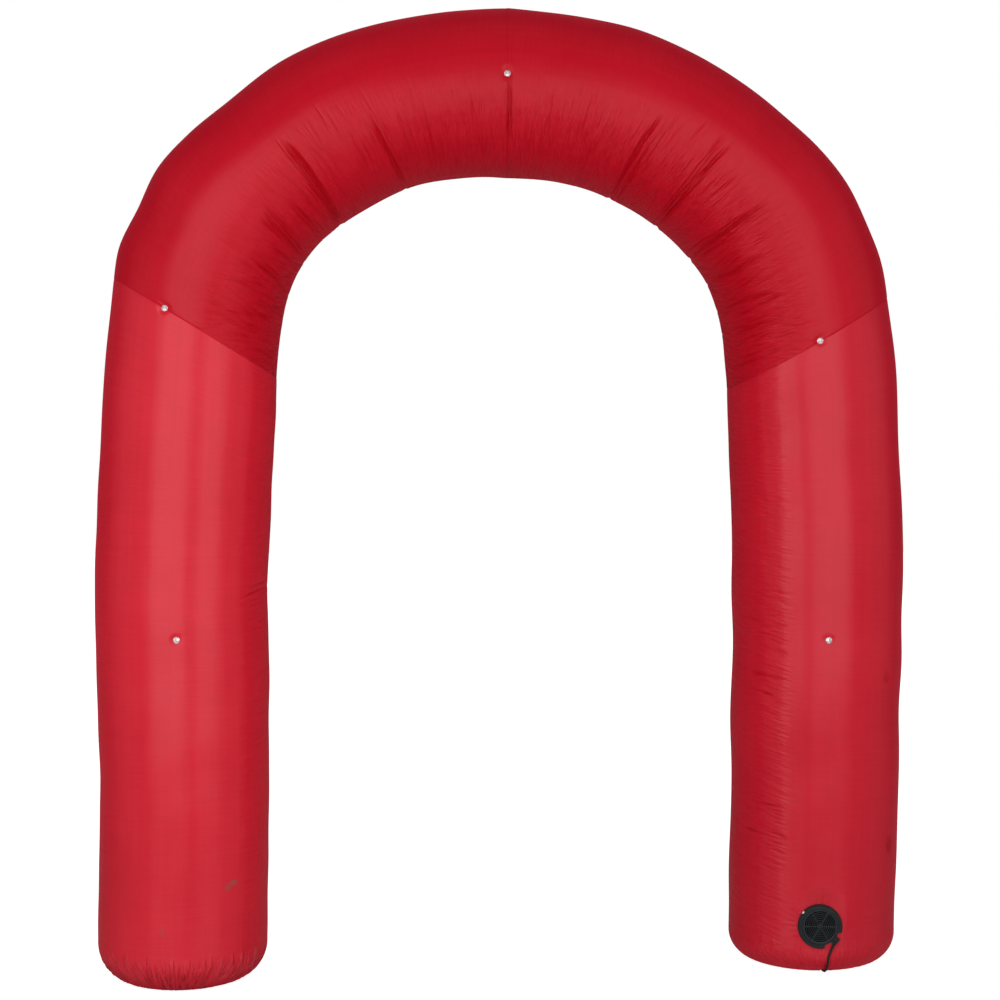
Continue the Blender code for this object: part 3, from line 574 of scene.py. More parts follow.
def from_work(name: str, work: bmesh.types.BMesh, place: Matrix, sharp: float = 38.0) -> bpy.types.Object:
    """Turn a work mesh into a piece.

    Args:
        name: The piece's name.
        work: The work mesh, which is used up.
        place: Where the piece goes.
        sharp: Edges sharper than this angle stay crisp.

    Returns:
        The piece.
    """
    bmesh.ops.recalc_face_normals(work, faces=work.faces)
    bmesh.ops.transform(work, matrix=place, verts=work.verts)
    mesh = bpy.data.meshes.new(name)
    work.to_mesh(mesh)
    work.free()
    return add_object(name, mesh, sharp)


def lathe(work: bmesh.types.BMesh, profile: Sequence[Sequence[float]], steps: int,
          change: Callable[[float, float, float], tuple[float, float]] | None = None, ring: bool = False) -> None:
    """Turn a profile round the Z axis.

    Args:
        work: The mesh that it is added to.
        profile: Its radius and height pairs.
        steps: How many steps a full turn has.
        change: Changes a radius and height at an angle, for a shape that isn't quite round.
        ring: Whether the profile closes on itself.
    """
    rows = []
    for radius, height in profile:
        if radius < 1e-6:
            rows.append([work.verts.new((0.0, 0.0, height))] * steps)
            continue
        row = []
        for index in range(steps):
            angle = 2.0 * math.pi * index / steps
            wide, high = change(radius, height, angle) if change else (radius, height)
            row.append(work.verts.new((wide * math.cos(angle), wide * math.sin(angle), high)))
        rows.append(row)
    pairs = list(zip(rows, rows[1:])) + ([(rows[-1], rows[0])] if ring else [])
    for low, high in pairs:
        for index in range(steps):
            after = (index + 1) % steps
            corners = [low[index], low[after], high[after], high[index]]
            unique = list(dict.fromkeys(corners))
            if len(unique) > 2:
                work.faces.new(unique)


def soft_box(work: bmesh.types.BMesh, low: Triple, high: Triple, edge: float, segments: int = 3,
             turn: Matrix | None = None, slot: int = 0) -> None:
    """Add a box with rounded edges.

    Args:
        work: The mesh that it is added to.
        low: Its lowest corner.
        high: Its highest corner.
        edge: The radius of its edges.
        segments: How many faces each rounding has.
        turn: Turns the box about the origin.
        slot: Its material slot.
    """
    size = Vector(high) - Vector(low)
    place = (turn or Matrix.Identity(4)) @ Matrix.Translation((Vector(low) + Vector(high)) / 2)
    made = bmesh.ops.create_cube(work, size=1.0, matrix=place @ Matrix.Diagonal((*size, 1.0)))
    edges = list({one for vert in made["verts"] for one in vert.link_edges})
    before = set(work.faces) - {face for vert in made["verts"] for face in vert.link_faces}
    bmesh.ops.bevel(work, geom=edges, offset=edge, segments=segments, profile=0.5, affect="EDGES")
    for face in set(work.faces) - before:
        face.material_index = slot


# ---------------------------------------------------------------------------------------------
# The cloth tube
# ---------------------------------------------------------------------------------------------


@dataclass(frozen=True)
class RowTable:
    """Rows of a shape, with the place of each row first, read on one smooth curve."""

    rows: tuple[tuple[float, ...], ...]

    def read(self, place: Array) -> list[Array]:
        """Read the columns between the rows.

        Args:
            place: The places to read at.

        Returns:
            Each column at those places.
        """
        table = np.array(sorted(self.rows))
        places = table[:, 0]
        low = np.clip(np.searchsorted(places, place) - 1, 0, len(places) - 2)
        high = low + 1
        before = np.maximum(low - 1, 0)
        after = np.minimum(low + 2, len(places) - 1)
        span = places[high] - places[low]
        t = np.clip((place - places[low]) / span, 0.0, 1.0)
        columns = []
        for column in table.T[1:]:
            slope_low = (column[high] - column[before]) / (places[high] - places[before]) * span
            slope_high = (column[after] - column[low]) / (places[after] - places[low]) * span
            columns.append((2 * t**3 - 3 * t**2 + 1) * column[low] + (t**3 - 2 * t**2 + t) * slope_low
                           + (3 * t**2 - 2 * t**3) * column[high] + (t**3 - t**2) * slope_high)
        return columns


LEFT_CROWN = RowTable((
    (148.8, 0.767, 1.298), (145.0, 0.797, 1.337), (140.0, 0.839, 1.360), (135.0, 0.884, 1.396),
    (130.0, 0.921, 1.409), (124.0, 0.951, 1.417), (116.0, 0.968, 1.444), (105.0, 0.987, 1.450),
    (95.0, 0.983, 1.449), (90.0, 0.978, 1.455)))
RIGHT_CROWN = RowTable((
    (30.1, 0.743, 1.275), (35.0, 0.778, 1.319), (40.0, 0.823, 1.350), (45.0, 0.866, 1.381),
    (50.0, 0.900, 1.397), (56.0, 0.926, 1.409), (64.0, 0.952, 1.431), (75.0, 0.975, 1.448),
    (85.0, 0.978, 1.450), (90.0, 0.978, 1.455)))
LEFT_LEG = RowTable((
    (0.10, -0.680, -1.148, 0.0), (0.30, -0.678, -1.146, 0.0), (0.55, -0.676, -1.144, 0.0),
    (0.80, -0.676, -1.153, 0.0), (1.05, -0.680, -1.160, 0.0), (1.25, -0.675, -1.156, 0.02),
    (1.45, -0.667, -1.146, 0.08), (1.62, -0.660, -1.134, 0.17), (1.81486, -0.65606, -1.11026, 0.27507)))
RIGHT_LEG = RowTable((
    (0.10, 0.656, 1.133, 0.0), (0.30, 0.657, 1.140, 0.0), (0.46, 0.663, 1.143, 0.0),
    (0.69, 0.659, 1.146, 0.0), (0.92, 0.664, 1.150, 0.0), (1.16, 0.660, 1.154, 0.0),
    (1.30, 0.659, 1.150, 0.02), (1.45, 0.653, 1.138, 0.08), (1.62, 0.648, 1.130, 0.17),
    (1.78602, 0.64281, 1.10307, 0.26680)))


@dataclass
class Grid:
    """A patch of cloth: points in rows round the tube, and the way out of the cloth at each."""

    points: Array
    normals: Array
    place: Array
    turn: Array
    inset: Array = field(init=False)
    # How much painted crease shade each point gets.
    fold_shade: Array = field(init=False)

    def __post_init__(self) -> None:
        """Start with no folds and no painted crease shade."""
        self.inset = np.zeros(self.place.shape)
        self.fold_shade = np.zeros(self.place.shape)

    def push(self, depth: Array, deep: float = 0.0) -> None:
        """Press the cloth in.

        Args:
            depth: How far, in metres.
            deep: The depth that gives the full painted crease shade in the cloth's colour, or 0 for none.
        """
        self.inset += depth
        if deep:
            self.fold_shade += np.clip(depth / deep, 0.0, 1.0)

    def settled(self) -> Array:
        """Return the points with the cloth pressed in."""
        return self.points - self.normals * self.inset[..., None]


class TubeShape:
    """What the crown's halves and the legs share: oval ribs placed along a way."""

    depth: float = TUBE_DEPTH

    def edges(self, place: Array) -> tuple[Array, Array]:
        """Return the inner and outer points of the ribs at places along the tube."""
        raise NotImplementedError

    def grid(self, place: Array, turn: Array) -> Grid:
        """Lay a patch of cloth on the tube.

        Args:
            place: The place along the tube of each point.
            turn: Its turn round the tube, in degrees, 0 in front and 90 at the inner edge.

        Returns:
            The patch.
        """
        inner, outer = self.edges(place)
        middle, half = (inner + outer) / 2.0, (inner - outer) / 2.0
        sine, cosine = np.sin(np.radians(turn))[..., None], np.cos(np.radians(turn))[..., None]
        front = np.array((0.0, -1.0, 0.0))
        points = middle + half * sine + front * (self.depth * cosine)
        normals = half * (sine / (half**2).sum(-1, keepdims=True)) + front * (cosine / self.depth)
        normals /= np.linalg.norm(normals, axis=-1, keepdims=True)
        return Grid(points, normals, place, turn)


@dataclass
class CrownShape(TubeShape):
    """The crown, whose ribs fan out from one point; a place is an angle above the horizontal."""

    table: RowTable

    def edges(self, place: Array) -> tuple[Array, Array]:
        """Return the inner and outer points of the ribs at angles above the horizontal."""
        inner, outer = self.table.read(place)
        angle = np.radians(place)
        spoke = np.stack((np.cos(angle), np.zeros(angle.shape), np.sin(angle)), -1)
        fan = np.array((FAN_X, 0.0, FAN_HEIGHT))
        return fan + spoke * inner[..., None], fan + spoke * outer[..., None]


@dataclass
class LegShape(TubeShape):
    """A leg; a place is a height. The feet stand a little staggered, one forward and one back."""

    table: RowTable
    side: float
    foot_radius: float
    foot_swing: float
    stagger: float = 0.040
    stagger_top: float = 1.80

    def edges(self, place: Array) -> tuple[Array, Array]:
        """Return the inner and outer points of the ribs at heights."""
        inner_x, outer_x, rise = self.table.read(place)
        y = self.side * self.stagger * np.maximum(0.0, 1.0 - place / self.stagger_top)
        return (np.stack((FAN_X + inner_x, y, place - rise / 2.0), -1),
                np.stack((FAN_X + outer_x, y, place + rise / 2.0), -1))

    def foot_round(self, turn: Array) -> Array:
        """Return the radius of the foot's rounded lower edge at a turn."""
        return self.foot_radius - self.foot_swing * np.sin(np.radians(turn))

    def foot(self, bend: Array, turn: Array) -> Grid:
        """Lay the cloth round the foot's lower edge.

        Args:
            bend: 90 where the leg's side starts, and 0 on the floor.
            turn: The turn round the tube.

        Returns:
            The patch, whose places run on below the leg's.
        """
        side = self.grid(np.full(turn.shape, 0.10), turn)
        flat = side.normals.copy()
        flat[..., 2] = 0.0
        flat /= np.linalg.norm(flat, axis=-1, keepdims=True)
        radius = self.foot_round(turn)
        sine, cosine = np.sin(np.radians(bend)), np.cos(np.radians(bend))
        points = side.points - flat * (radius * (1.0 - sine))[..., None]
        points[..., 2] = radius * (1.0 - cosine)
        normals = flat * sine[..., None]
        normals[..., 2] = -cosine
        return Grid(points, normals, radius - radius * np.radians(90.0 - bend), turn)


@dataclass(frozen=True)
class Crease:
    """A thin trough round the tube, straight from its start in front to the inner edge."""

    start: float
    edge: float
    from_turn: float
    to_turn: float
    depth: float
    width: float
    fade: float = 22.0
    end_fade: float = 30.0
    edge_depth: float = 0.14
    lip: float = 0.22

    def trough(self, grid: Grid, metres: Array, seed: float) -> Array:
        """Return how far the crease presses the cloth in.

        Args:
            grid: The patch of cloth.
            metres: How many metres one unit of place is, at each point.
            seed: Where in its wobble the crease is.

        Returns:
            The depth at each point, in metres.
        """
        here = (grid.turn + 90.0) % 360.0 - 90.0
        first = math.sin(math.radians(self.from_turn + 0.3 * self.fade))
        lean = np.clip((np.sin(np.radians(here)) - first) / (1.0 - first), -0.3, 1.0)
        wobble = 0.0011 * np.sin(here / 12.0 + seed) + 0.0005 * np.sin(here / 4.7 + 2.1 * seed)
        middle = self.start + (self.edge - self.start) * lean
        across = ((grid.place - middle) * metres + wobble) / self.width
        near = np.abs(across) < 8.0
        fade = smooth((here - self.from_turn) / self.fade) * smooth((self.to_turn - here) / self.end_fade)
        held = 1.0 - (1.0 - self.edge_depth) * bell((here - 90.0) / 20.0)
        side = 1.0 if math.sin(7.0 * seed) > 0.0 else -1.0
        shape = 0.80 * bell(across) + 0.20 * bell(across / 3.2) - self.lip * bell((across - 2.3 * side) / 1.1)
        return np.where(near, self.depth * fade * held * shape, 0.0)

    def companions(self, rng: np.random.Generator, count: int, metre: float) -> list["Crease"]:
        """Return thinner, shorter creases that run beside this one.

        Args:
            rng: The source of their unevenness.
            count: How many there are.
            metre: How many metres one unit of place is.

        Returns:
            The companions.
        """
        made = []
        for _ in range(count):
            aside = rng.choice((-1.0, 1.0)) * rng.uniform(0.0055, 0.022) / metre
            spread = aside + rng.uniform(-0.003, 0.003) / metre
            first = self.from_turn + rng.uniform(-4.0, 26.0)
            last = max(first + 30.0, self.to_turn - rng.uniform(10.0, 60.0))
            made.append(Crease(self.start + aside, self.edge + spread, first, last,
                               self.depth * rng.uniform(0.16, 0.42), rng.uniform(0.0019, 0.0030), 16.0))
        return made


@dataclass(frozen=True)
class CreaseZone:
    """A stretch of the tube with many fine creases, laid out from one seed."""

    low: float
    high: float
    count: int
    starts: tuple[float, float]
    spans: tuple[float, float]
    depths: tuple[float, float]
    widths: tuple[float, float]
    slant: tuple[float, float]
    seed: int

    def creases(self, leans: Sequence[Crease] = ()) -> list[Crease]:
        """Lay out the creases.

        Args:
            leans: The main creases, which the fine ones lean with.

        Returns:
            The fine creases.
        """
        rng = np.random.default_rng(self.seed)
        places = [crease.start for crease in sorted(leans, key=lambda one: one.start)] or [self.low]
        bends = [crease.edge - crease.start for crease in sorted(leans, key=lambda one: one.start)] or [0.0]
        made = []
        for index in range(self.count):
            spot = self.low + (self.high - self.low) * (index + rng.uniform(-0.2, 1.2)) / self.count
            first, span = rng.uniform(*self.starts), rng.uniform(*self.spans)
            lean = float(np.interp(spot, places, bends)) + rng.uniform(*self.slant)
            lean *= 1.0 - math.sin(math.radians(first + 0.12 * span))
            depth = self.depths[0] + (self.depths[1] - self.depths[0]) * rng.uniform(0.0, 1.0) ** 2
            made.append(Crease(spot, spot + lean, first, first + span, depth, rng.uniform(*self.widths),
                               0.4 * span, 0.5 * span, 0.4, 0.20))
        return made


@dataclass(frozen=True)
class Dimple:
    """A round place where the cloth is drawn in under a light button."""

    centre: Vector
    sink: float
    radius: float = 0.0100
    reach: float = 0.010

    def press(self, grid: Grid) -> None:
        """Press the cloth in round the button."""
        away = np.linalg.norm(grid.points - np.array(self.centre), axis=-1)
        grid.push((self.sink + 0.0004) * (1.0 - smooth((away - self.radius) / self.reach)))


@dataclass(frozen=True)
class Ripple:
    """Slow, slight unevenness of the blown-up cloth."""

    height: float
    seed: int

    def press(self, grid: Grid, metres: Array) -> None:
        """Add the unevenness to a patch, given how many metres one unit of place is."""
        rng = np.random.default_rng(self.seed)
        along = grid.place * metres
        around = np.radians(grid.turn) * TUBE_DEPTH
        total = np.zeros(grid.place.shape)
        for _ in range(9):
            length = rng.uniform(0.16, 0.60)
            way = rng.uniform(-0.5, 0.5)
            turns = round(2.0 * math.pi * TUBE_DEPTH * way / length)
            total += np.sin(along * math.tau / length + around * turns / TUBE_DEPTH + rng.uniform(0.0, math.tau))
        grid.push(total * self.height / 3.0)


class Panel:
    """Builds one sewn panel of the tube from patches of cloth."""

    def __init__(self, name: str, node: str, finish: Finish, slot: str, fill: float) -> None:
        """Start a panel.

        Args:
            name: The piece's name.
            node: The solid that it stands for.
            finish: Its cloth.
            slot: Its material slot in the record.
            fill: How tightly it is blown up. Not used.
        """
        self.name = name
        self.node = node
        self.finish = finish
        self.slot = slot
        self.fill = fill
        self.hole: Callable[[Array], Array] | None = None

    def mesh(self, points: Array, threads: Array, folds: Array, capped: bool) -> bpy.types.Mesh:
        """Join rows of points into a mesh.

        Args:
            points: The points, in rows round the tube.
            threads: Each point's place along and round the cloth, with one more column to close the round.
            folds: How deep in a crease each point is, which sets its painted shade.
            capped: Whether the first row is closed with a face.

        Returns:
            The mesh.
        """
        rows, columns = points.shape[:2]
        index = np.arange(rows * columns).reshape(rows, columns)
        after = np.roll(index, -1, axis=1)
        quads = np.stack((index[:-1], after[:-1], after[1:], index[1:]), -1).reshape(-1, 4)
        corners = np.stack((threads[:-1, :-1], threads[:-1, 1:], threads[1:, 1:], threads[1:, :-1]), 2)
        corners = corners.reshape(-1, 4, 2)
        flat = points.reshape(-1, 3)
        if self.hole is not None:
            kept = ~self.hole(flat[quads].mean(axis=1))
            quads, corners = quads[kept], corners[kept]
        faces = quads.tolist() + ([index[0, ::-1].tolist()] if capped else [])
        mesh = bpy.data.meshes.new(self.name)
        mesh.from_pydata(flat.tolist(), [], faces)
        layer = mesh.uv_layers.new(name="threads")
        values = np.zeros((len(mesh.loops), 2), np.float32)
        values[:quads.size] = corners.reshape(-1, 2)
        layer.data.foreach_set("uv", values.ravel())
        # Each point's share of painted crease shade, which the cloth's material reads.
        depth = mesh.attributes.new("fold_shade", "FLOAT", "POINT")
        depth.data.foreach_set("value", np.clip(folds, 0.0, 1.0).astype(np.float32).ravel())
        mesh.validate()
        return mesh

    def finished(self, mesh: bpy.types.Mesh, wardrobe: Wardrobe) -> bpy.types.Object:
        """Args:
            mesh: Its mesh.
            wardrobe: The materials.

        Returns:
            The piece.
        """
        work = bmesh.new()
        work.from_mesh(mesh)
        loose = [vert for vert in work.verts if not vert.link_faces]
        bmesh.ops.delete(work, geom=loose, context="VERTS")
        bmesh.ops.recalc_face_normals(work, faces=work.faces)
        work.to_mesh(mesh)
        work.free()
        piece = wardrobe.fit(add_object(self.name, mesh), (self.node,), self.slot, self.finish)
        return piece


def seam_tuck(distance: Array) -> Array:
    """Return how far the cloth rolls in beside a seam."""
    return 0.0007 * bell(distance / 0.0022) + 0.0005 * bell(distance / 0.020)


@dataclass
class CrownHalf:
    """One half of the crown, between a haunch seam and the crown seam."""

    name: str
    node: str
    shape: CrownShape
    seam: float
    main_creases: tuple[Crease, ...]
    zones: tuple[CreaseZone, ...]
    ripple: Ripple
    skew: float = 0.073
    skew_reach: float = 40.0
    pinch: Crease = Crease(89.72, 89.72, -6.0, 62.0, 0.0095, 0.0056, 24.0, 40.0, 1.0, 0.0)
    step: float = 0.068

    def turns(self) -> Array:
        """Return the turns of a rib's points, closer where the creases are."""
        return spaced((-30.0, 130.0, 2.2), (130.0, 330.0, 6.2))

    def skewed(self, points: Array, angle: Array) -> Array:
        """Swing the cloth beside the crown seam, so that the seam runs a little askew."""
        shift = self.skew * smooth(1.0 - np.abs(angle - CROWN_SEAM) / self.skew_reach)
        moved = points.copy()
        moved[..., 0] += shift * points[..., 1]
        return moved

    def button_seat(self, angle: float, turn: float, sink: float) -> Matrix:
        """Return the place of a light button on the crown.

        Args:
            angle: Its angle above the horizontal.
            turn: Its turn round the tube.
            sink: How far it sits in the cloth.

        Returns:
            The button's frame.
        """
        spot = self.shape.grid(np.array([angle]), np.array([turn]))
        point = self.skewed(spot.points, np.array([angle]))[0]
        return seat(Vector(point), Vector(spot.normals[0]), sink)

    def build(self, wardrobe: Wardrobe, dimples: Sequence[Dimple]) -> bpy.types.Object:
        """Build and dress the half.

        Args:
            wardrobe: The materials.
            dimples: The places where buttons draw the cloth in.

        Returns:
            The piece.
        """
        turns = self.turns()
        low, high = sorted((self.seam, CROWN_SEAM))
        count = round((high - low) / self.step)
        angles = np.linspace(low, high, count + 1)
        angle, turn = np.meshgrid(angles, turns[:-1], indexing="ij")
        grid = self.shape.grid(angle, turn)
        radius = np.hypot(grid.points[..., 0] - FAN_X, grid.points[..., 2] - FAN_HEIGHT)
        metres = np.radians(1.0) * radius
        grid.points = self.skewed(grid.points, angle)
        for number, crease in enumerate(self.main_creases + (self.pinch,)):
            grid.push(crease.trough(grid, metres, 1.7 * number), MAIN_SHADE_DEPTH)
        rng = np.random.default_rng(self.zones[0].seed)
        fine = [one for crease in self.main_creases for one in crease.companions(rng, 5, math.radians(1.0))]
        fine += [crease for zone in self.zones for crease in zone.creases(self.main_creases)]
        for number, crease in enumerate(fine):
            grid.push(crease.trough(grid, metres, 0.9 * number), FINE_SHADE_DEPTH)
        self.ripple.press(grid, CROWN_DEGREE)
        grid.push(seam_tuck(np.abs(angle - self.seam) * metres), SEAM_SHADE_DEPTH)
        for dimple in dimples:
            dimple.press(grid)
        points = grid.settled()
        points = hemmed(points, grid.normals, True, True)
        folds = np.concatenate((grid.fold_shade[:1], grid.fold_shade, grid.fold_shade[-1:]))
        along = np.concatenate((angles[:1], angles, angles[-1:])) * CROWN_DEGREE
        threads = np.stack(np.meshgrid(along, np.radians(turns) * TUBE_DEPTH, indexing="ij"), -1)
        panel = Panel(self.name, self.node, Finish.CROWN, "crown_cloth", FILL)
        return panel.finished(panel.mesh(points, threads, folds, False), wardrobe)


def hemmed(points: Array, normals: Array, first: bool, last: bool) -> Array:
    """Turn the cloth's edges inwards beyond a seam.

    Args:
        points: The points, in rows.
        normals: The ways out of the cloth.
        first: Whether the first row gets a turned edge.
        last: Whether the last row does.

    Returns:
        The points with the turned edges added.
    """
    rows = [points]
    if first:
        rows.insert(0, (points[0] - normals[0] * HEM)[None])
    if last:
        rows.append((points[-1] - normals[-1] * HEM)[None])
    return np.concatenate(rows)


@dataclass(frozen=True)
class Gathers:
    """Short pleats that fan up from the foot's lower edge."""

    count: int
    low_turn: float
    high_turn: float
    top: tuple[float, float]
    depth: tuple[float, float]
    width: tuple[float, float]
    seed: int

    def press(self, grid: Grid) -> None:
        """Press the pleats into a patch."""
        rng = np.random.default_rng(self.seed)
        here = (grid.turn + 180.0) % 360.0 - 180.0
        for index in range(self.count):
            spot = self.low_turn + (self.high_turn - self.low_turn) * (index + rng.uniform(0.0, 1.0)) / self.count
            top = rng.uniform(*self.top)
            fan = rng.uniform(-14.0, 14.0) + 2.4 * spot
            middle = spot + fan * grid.place
            width = rng.uniform(*self.width) * (1.0 - 0.4 * np.clip(grid.place / max(top, 0.01), 0.0, 1.0))
            across = np.radians(here - middle) * TUBE_DEPTH / width
            fade = smooth((grid.place + 0.036) / 0.03) * smooth((top - grid.place) / 0.045)
            depth = rng.uniform(*self.depth)
            grid.push(depth * fade * (bell(across) - 0.35 * bell((np.abs(across) - 1.8) / 0.8)), PLEAT_SHADE_DEPTH)


@dataclass(frozen=True)
class Pucker:
    """Small creases that run out from the blower's flange."""

    angles: tuple[tuple[float, float, float], ...]
    radius: float = 0.062
    strength: float = 0.6

    def press(self, grid: Grid, frame_in: Matrix) -> None:
        """Press the creases into a patch, given the blower's frame."""
        inverse = np.array(frame_in.inverted())
        local = grid.points @ inverse[:3, :3].T + inverse[:3, 3]
        away = np.hypot(local[..., 0], local[..., 1])
        angle = np.degrees(np.arctan2(local[..., 1], local[..., 0]))
        front = np.abs(local[..., 2]) < 0.08
        for middle, reach, depth in self.angles:
            across = np.radians((angle - middle + 180.0) % 360.0 - 180.0) * away / 0.0036
            fade = smooth((away - self.radius + 0.012) / 0.010) * smooth((self.radius + reach - away) / (0.8 * reach))
            shape = bell(across) - 0.35 * bell((np.abs(across) - 1.9) / 0.8)
            grid.push(np.where(front, self.strength * depth * fade * shape, 0.0), PLEAT_SHADE_DEPTH)


@dataclass
class Leg:
    """One leg on its rounded foot, up to its haunch seam."""

    name: str
    node: str
    finish: Finish
    shape: LegShape
    main_creases: tuple[Crease, ...]
    zones: tuple[CreaseZone, ...]
    gathers: Gathers
    ripple: Ripple
    runs: tuple[Triple, ...]
    channel_x: float | None = None

    def turns(self) -> Array:
        """Return the turns of a rib's points, closer in front and where a lead runs out behind."""
        if self.channel_x is None:
            return spaced((-80.0, 100.0, 1.25), (100.0, 280.0, 5.0))
        return spaced((-80.0, 100.0, 1.35), (100.0, 165.0, 5.4), (165.0, 195.0, 1.1), (195.0, 280.0, 5.4))

    def button_seat(self, height: float, turn: float, sink: float) -> Matrix:
        """Return the place of a light button on the leg.

        Args:
            height: Its height.
            turn: Its turn round the tube.
            sink: How far it sits in the cloth.

        Returns:
            The button's frame.
        """
        spot = self.shape.grid(np.array([height]), np.array([turn]))
        return seat(Vector(spot.points[0]), Vector(spot.normals[0]), sink)

    def build(self, wardrobe: Wardrobe, dimples: Sequence[Dimple], blower: "Blower | None" = None) -> bpy.types.Object:
        """Build and dress the leg.

        Args:
            wardrobe: The materials.
            dimples: The places where buttons draw the cloth in.
            blower: The blower that sits in it, if one does.

        Returns:
            The piece.
        """
        turns = self.turns()
        bends, bend_turn = np.meshgrid(np.linspace(0.0, 90.0, 30), turns[:-1], indexing="ij")
        foot = self.shape.foot(bends, bend_turn)
        top = max(row[0] for row in self.shape.table.rows)
        heights = spaced(*self.runs, (self.runs[-1][1], top, 0.0045))
        height, turn = np.meshgrid(heights, turns[:-1], indexing="ij")
        ease_in = np.clip((height - heights[0]) / (FOOT_TOP - heights[0]), 0.0, 1.0)
        start = self.shape.foot_round(turn) + 0.003
        height = np.where(height < FOOT_TOP, start + (FOOT_TOP - start) * ease_in, height)
        side = self.shape.grid(height, turn)
        grid = Grid(np.concatenate((foot.points, side.points)), np.concatenate((foot.normals, side.normals)),
                    np.concatenate((foot.place, side.place)), np.concatenate((foot.turn, side.turn)))
        metres = np.ones(grid.place.shape)
        for number, crease in enumerate(self.main_creases):
            grid.push(crease.trough(grid, metres, 1.3 * number), MAIN_SHADE_DEPTH)
        rng = np.random.default_rng(self.zones[0].seed)
        fine = [one for crease in self.main_creases for one in crease.companions(rng, 4, 1.0)]
        fine += [crease for zone in self.zones for crease in zone.creases()]
        for number, crease in enumerate(fine):
            grid.push(crease.trough(grid, metres, 0.7 * number), FINE_SHADE_DEPTH)
        quiet = smooth((grid.place - 0.02) / 0.15)
        before = grid.inset.copy()
        self.ripple.press(grid, 1.0)
        grid.inset = before + (grid.inset - before) * quiet
        self.gathers.press(grid)
        grid.push(np.where(grid.place > 0.2, seam_tuck(top - grid.place), 0.0), SEAM_SHADE_DEPTH)
        for dimple in dimples:
            dimple.press(grid)
        if blower:
            blower.pucker.press(grid, blower.frame)
        points = grid.settled()
        points[..., 2] = np.maximum(points[..., 2], 0.0)
        if self.channel_x is not None:
            over = 0.0092 * smooth((0.0125 - np.abs(points[..., 0] - self.channel_x)) / 0.007)
            points[..., 2] = np.maximum(points[..., 2], over)
        if blower:
            points = blower.pressed_flat(points)
        points = hemmed(points, grid.normals, False, True)
        middle = points[0].mean(axis=0)
        inner = [middle + (points[0] - middle) * share for share in (0.30, 0.88)]
        for ring in inner:
            ring[:, 2] = 0.0095
        points = np.concatenate((np.array(inner), points))
        folds = np.concatenate((grid.fold_shade[:1], grid.fold_shade[:1], grid.fold_shade, grid.fold_shade[-1:]))
        along = np.concatenate(([-0.2, -0.1], grid.place.mean(axis=1), [top + HEM]))
        threads = np.stack(np.meshgrid(along, np.radians(turns) * TUBE_DEPTH, indexing="ij"), -1)
        panel = Panel(self.name, self.node, self.finish, "leg_cloth", FILL)
        if blower:
            panel.hole = blower.behind_flange
        return panel.finished(panel.mesh(points, threads, folds, True), wardrobe)


def seat(point: Vector, normal: Vector, sink: float) -> Matrix:
    """Return a frame on the cloth.

    Args:
        point: The point on the cloth.
        normal: The way out of it, which becomes the frame's Z axis.
        sink: How far below the cloth the frame lies.

    Returns:
        The frame.
    """
    made = normal.normalized().to_track_quat("Z", "Y").to_matrix().to_4x4()
    made.translation = point - normal.normalized() * sink
    return made


# ---------------------------------------------------------------------------------------------
# Light buttons
# ---------------------------------------------------------------------------------------------


@dataclass
class LightButton:
    """A clear domed cap with three raised ribs."""

    node: str
    frame: Matrix
    sink: float
    radius: float = 0.0092
    rim: float = 0.0018
    rise: float = 0.0050

    def build(self, wardrobe: Wardrobe) -> bpy.types.Object:
        """Build and dress the cap."""
        profile = [(0.0, self.rise)]
        for step in range(1, 13):
            angle = math.radians(90.0 * step / 12)
            profile.append((self.radius * 0.90 * math.sin(angle), self.rim + (self.rise - self.rim) * math.cos(angle)))
        profile += [(self.radius * 0.93, self.rim * 0.94), (self.radius * 0.97, self.rim * 0.90),
                    (self.radius * 0.995, self.rim * 0.70), (self.radius, self.rim * 0.45),
                    (self.radius, 0.0002), (self.radius * 0.96, 0.0), (0.0, 0.0)]
        work = bmesh.new()
        lathe(work, profile, 60, self._ribbed)
        piece = from_work(self.node + "_cap", work, self.frame, 50.0)
        return wardrobe.fit(piece, (self.node,), "clear_plastic", Finish.CLEAR)

    def _ribbed(self, radius: float, height: float, angle: float) -> tuple[float, float]:
        """Lower the dome between its three ribs."""
        rib = abs(math.cos(1.5 * (angle - math.pi / 2))) ** 5
        facet = abs(math.cos(4.5 * (angle - math.pi / 2)))
        share = min(1.0, radius / (0.45 * self.radius)) * min(1.0, max(0.0, (height - self.rim) / 0.0008))
        return radius * 0.95, height - share * (0.0019 * (1.0 - rib) - 0.0006 * facet)


# ---------------------------------------------------------------------------------------------
# Blower
# ---------------------------------------------------------------------------------------------


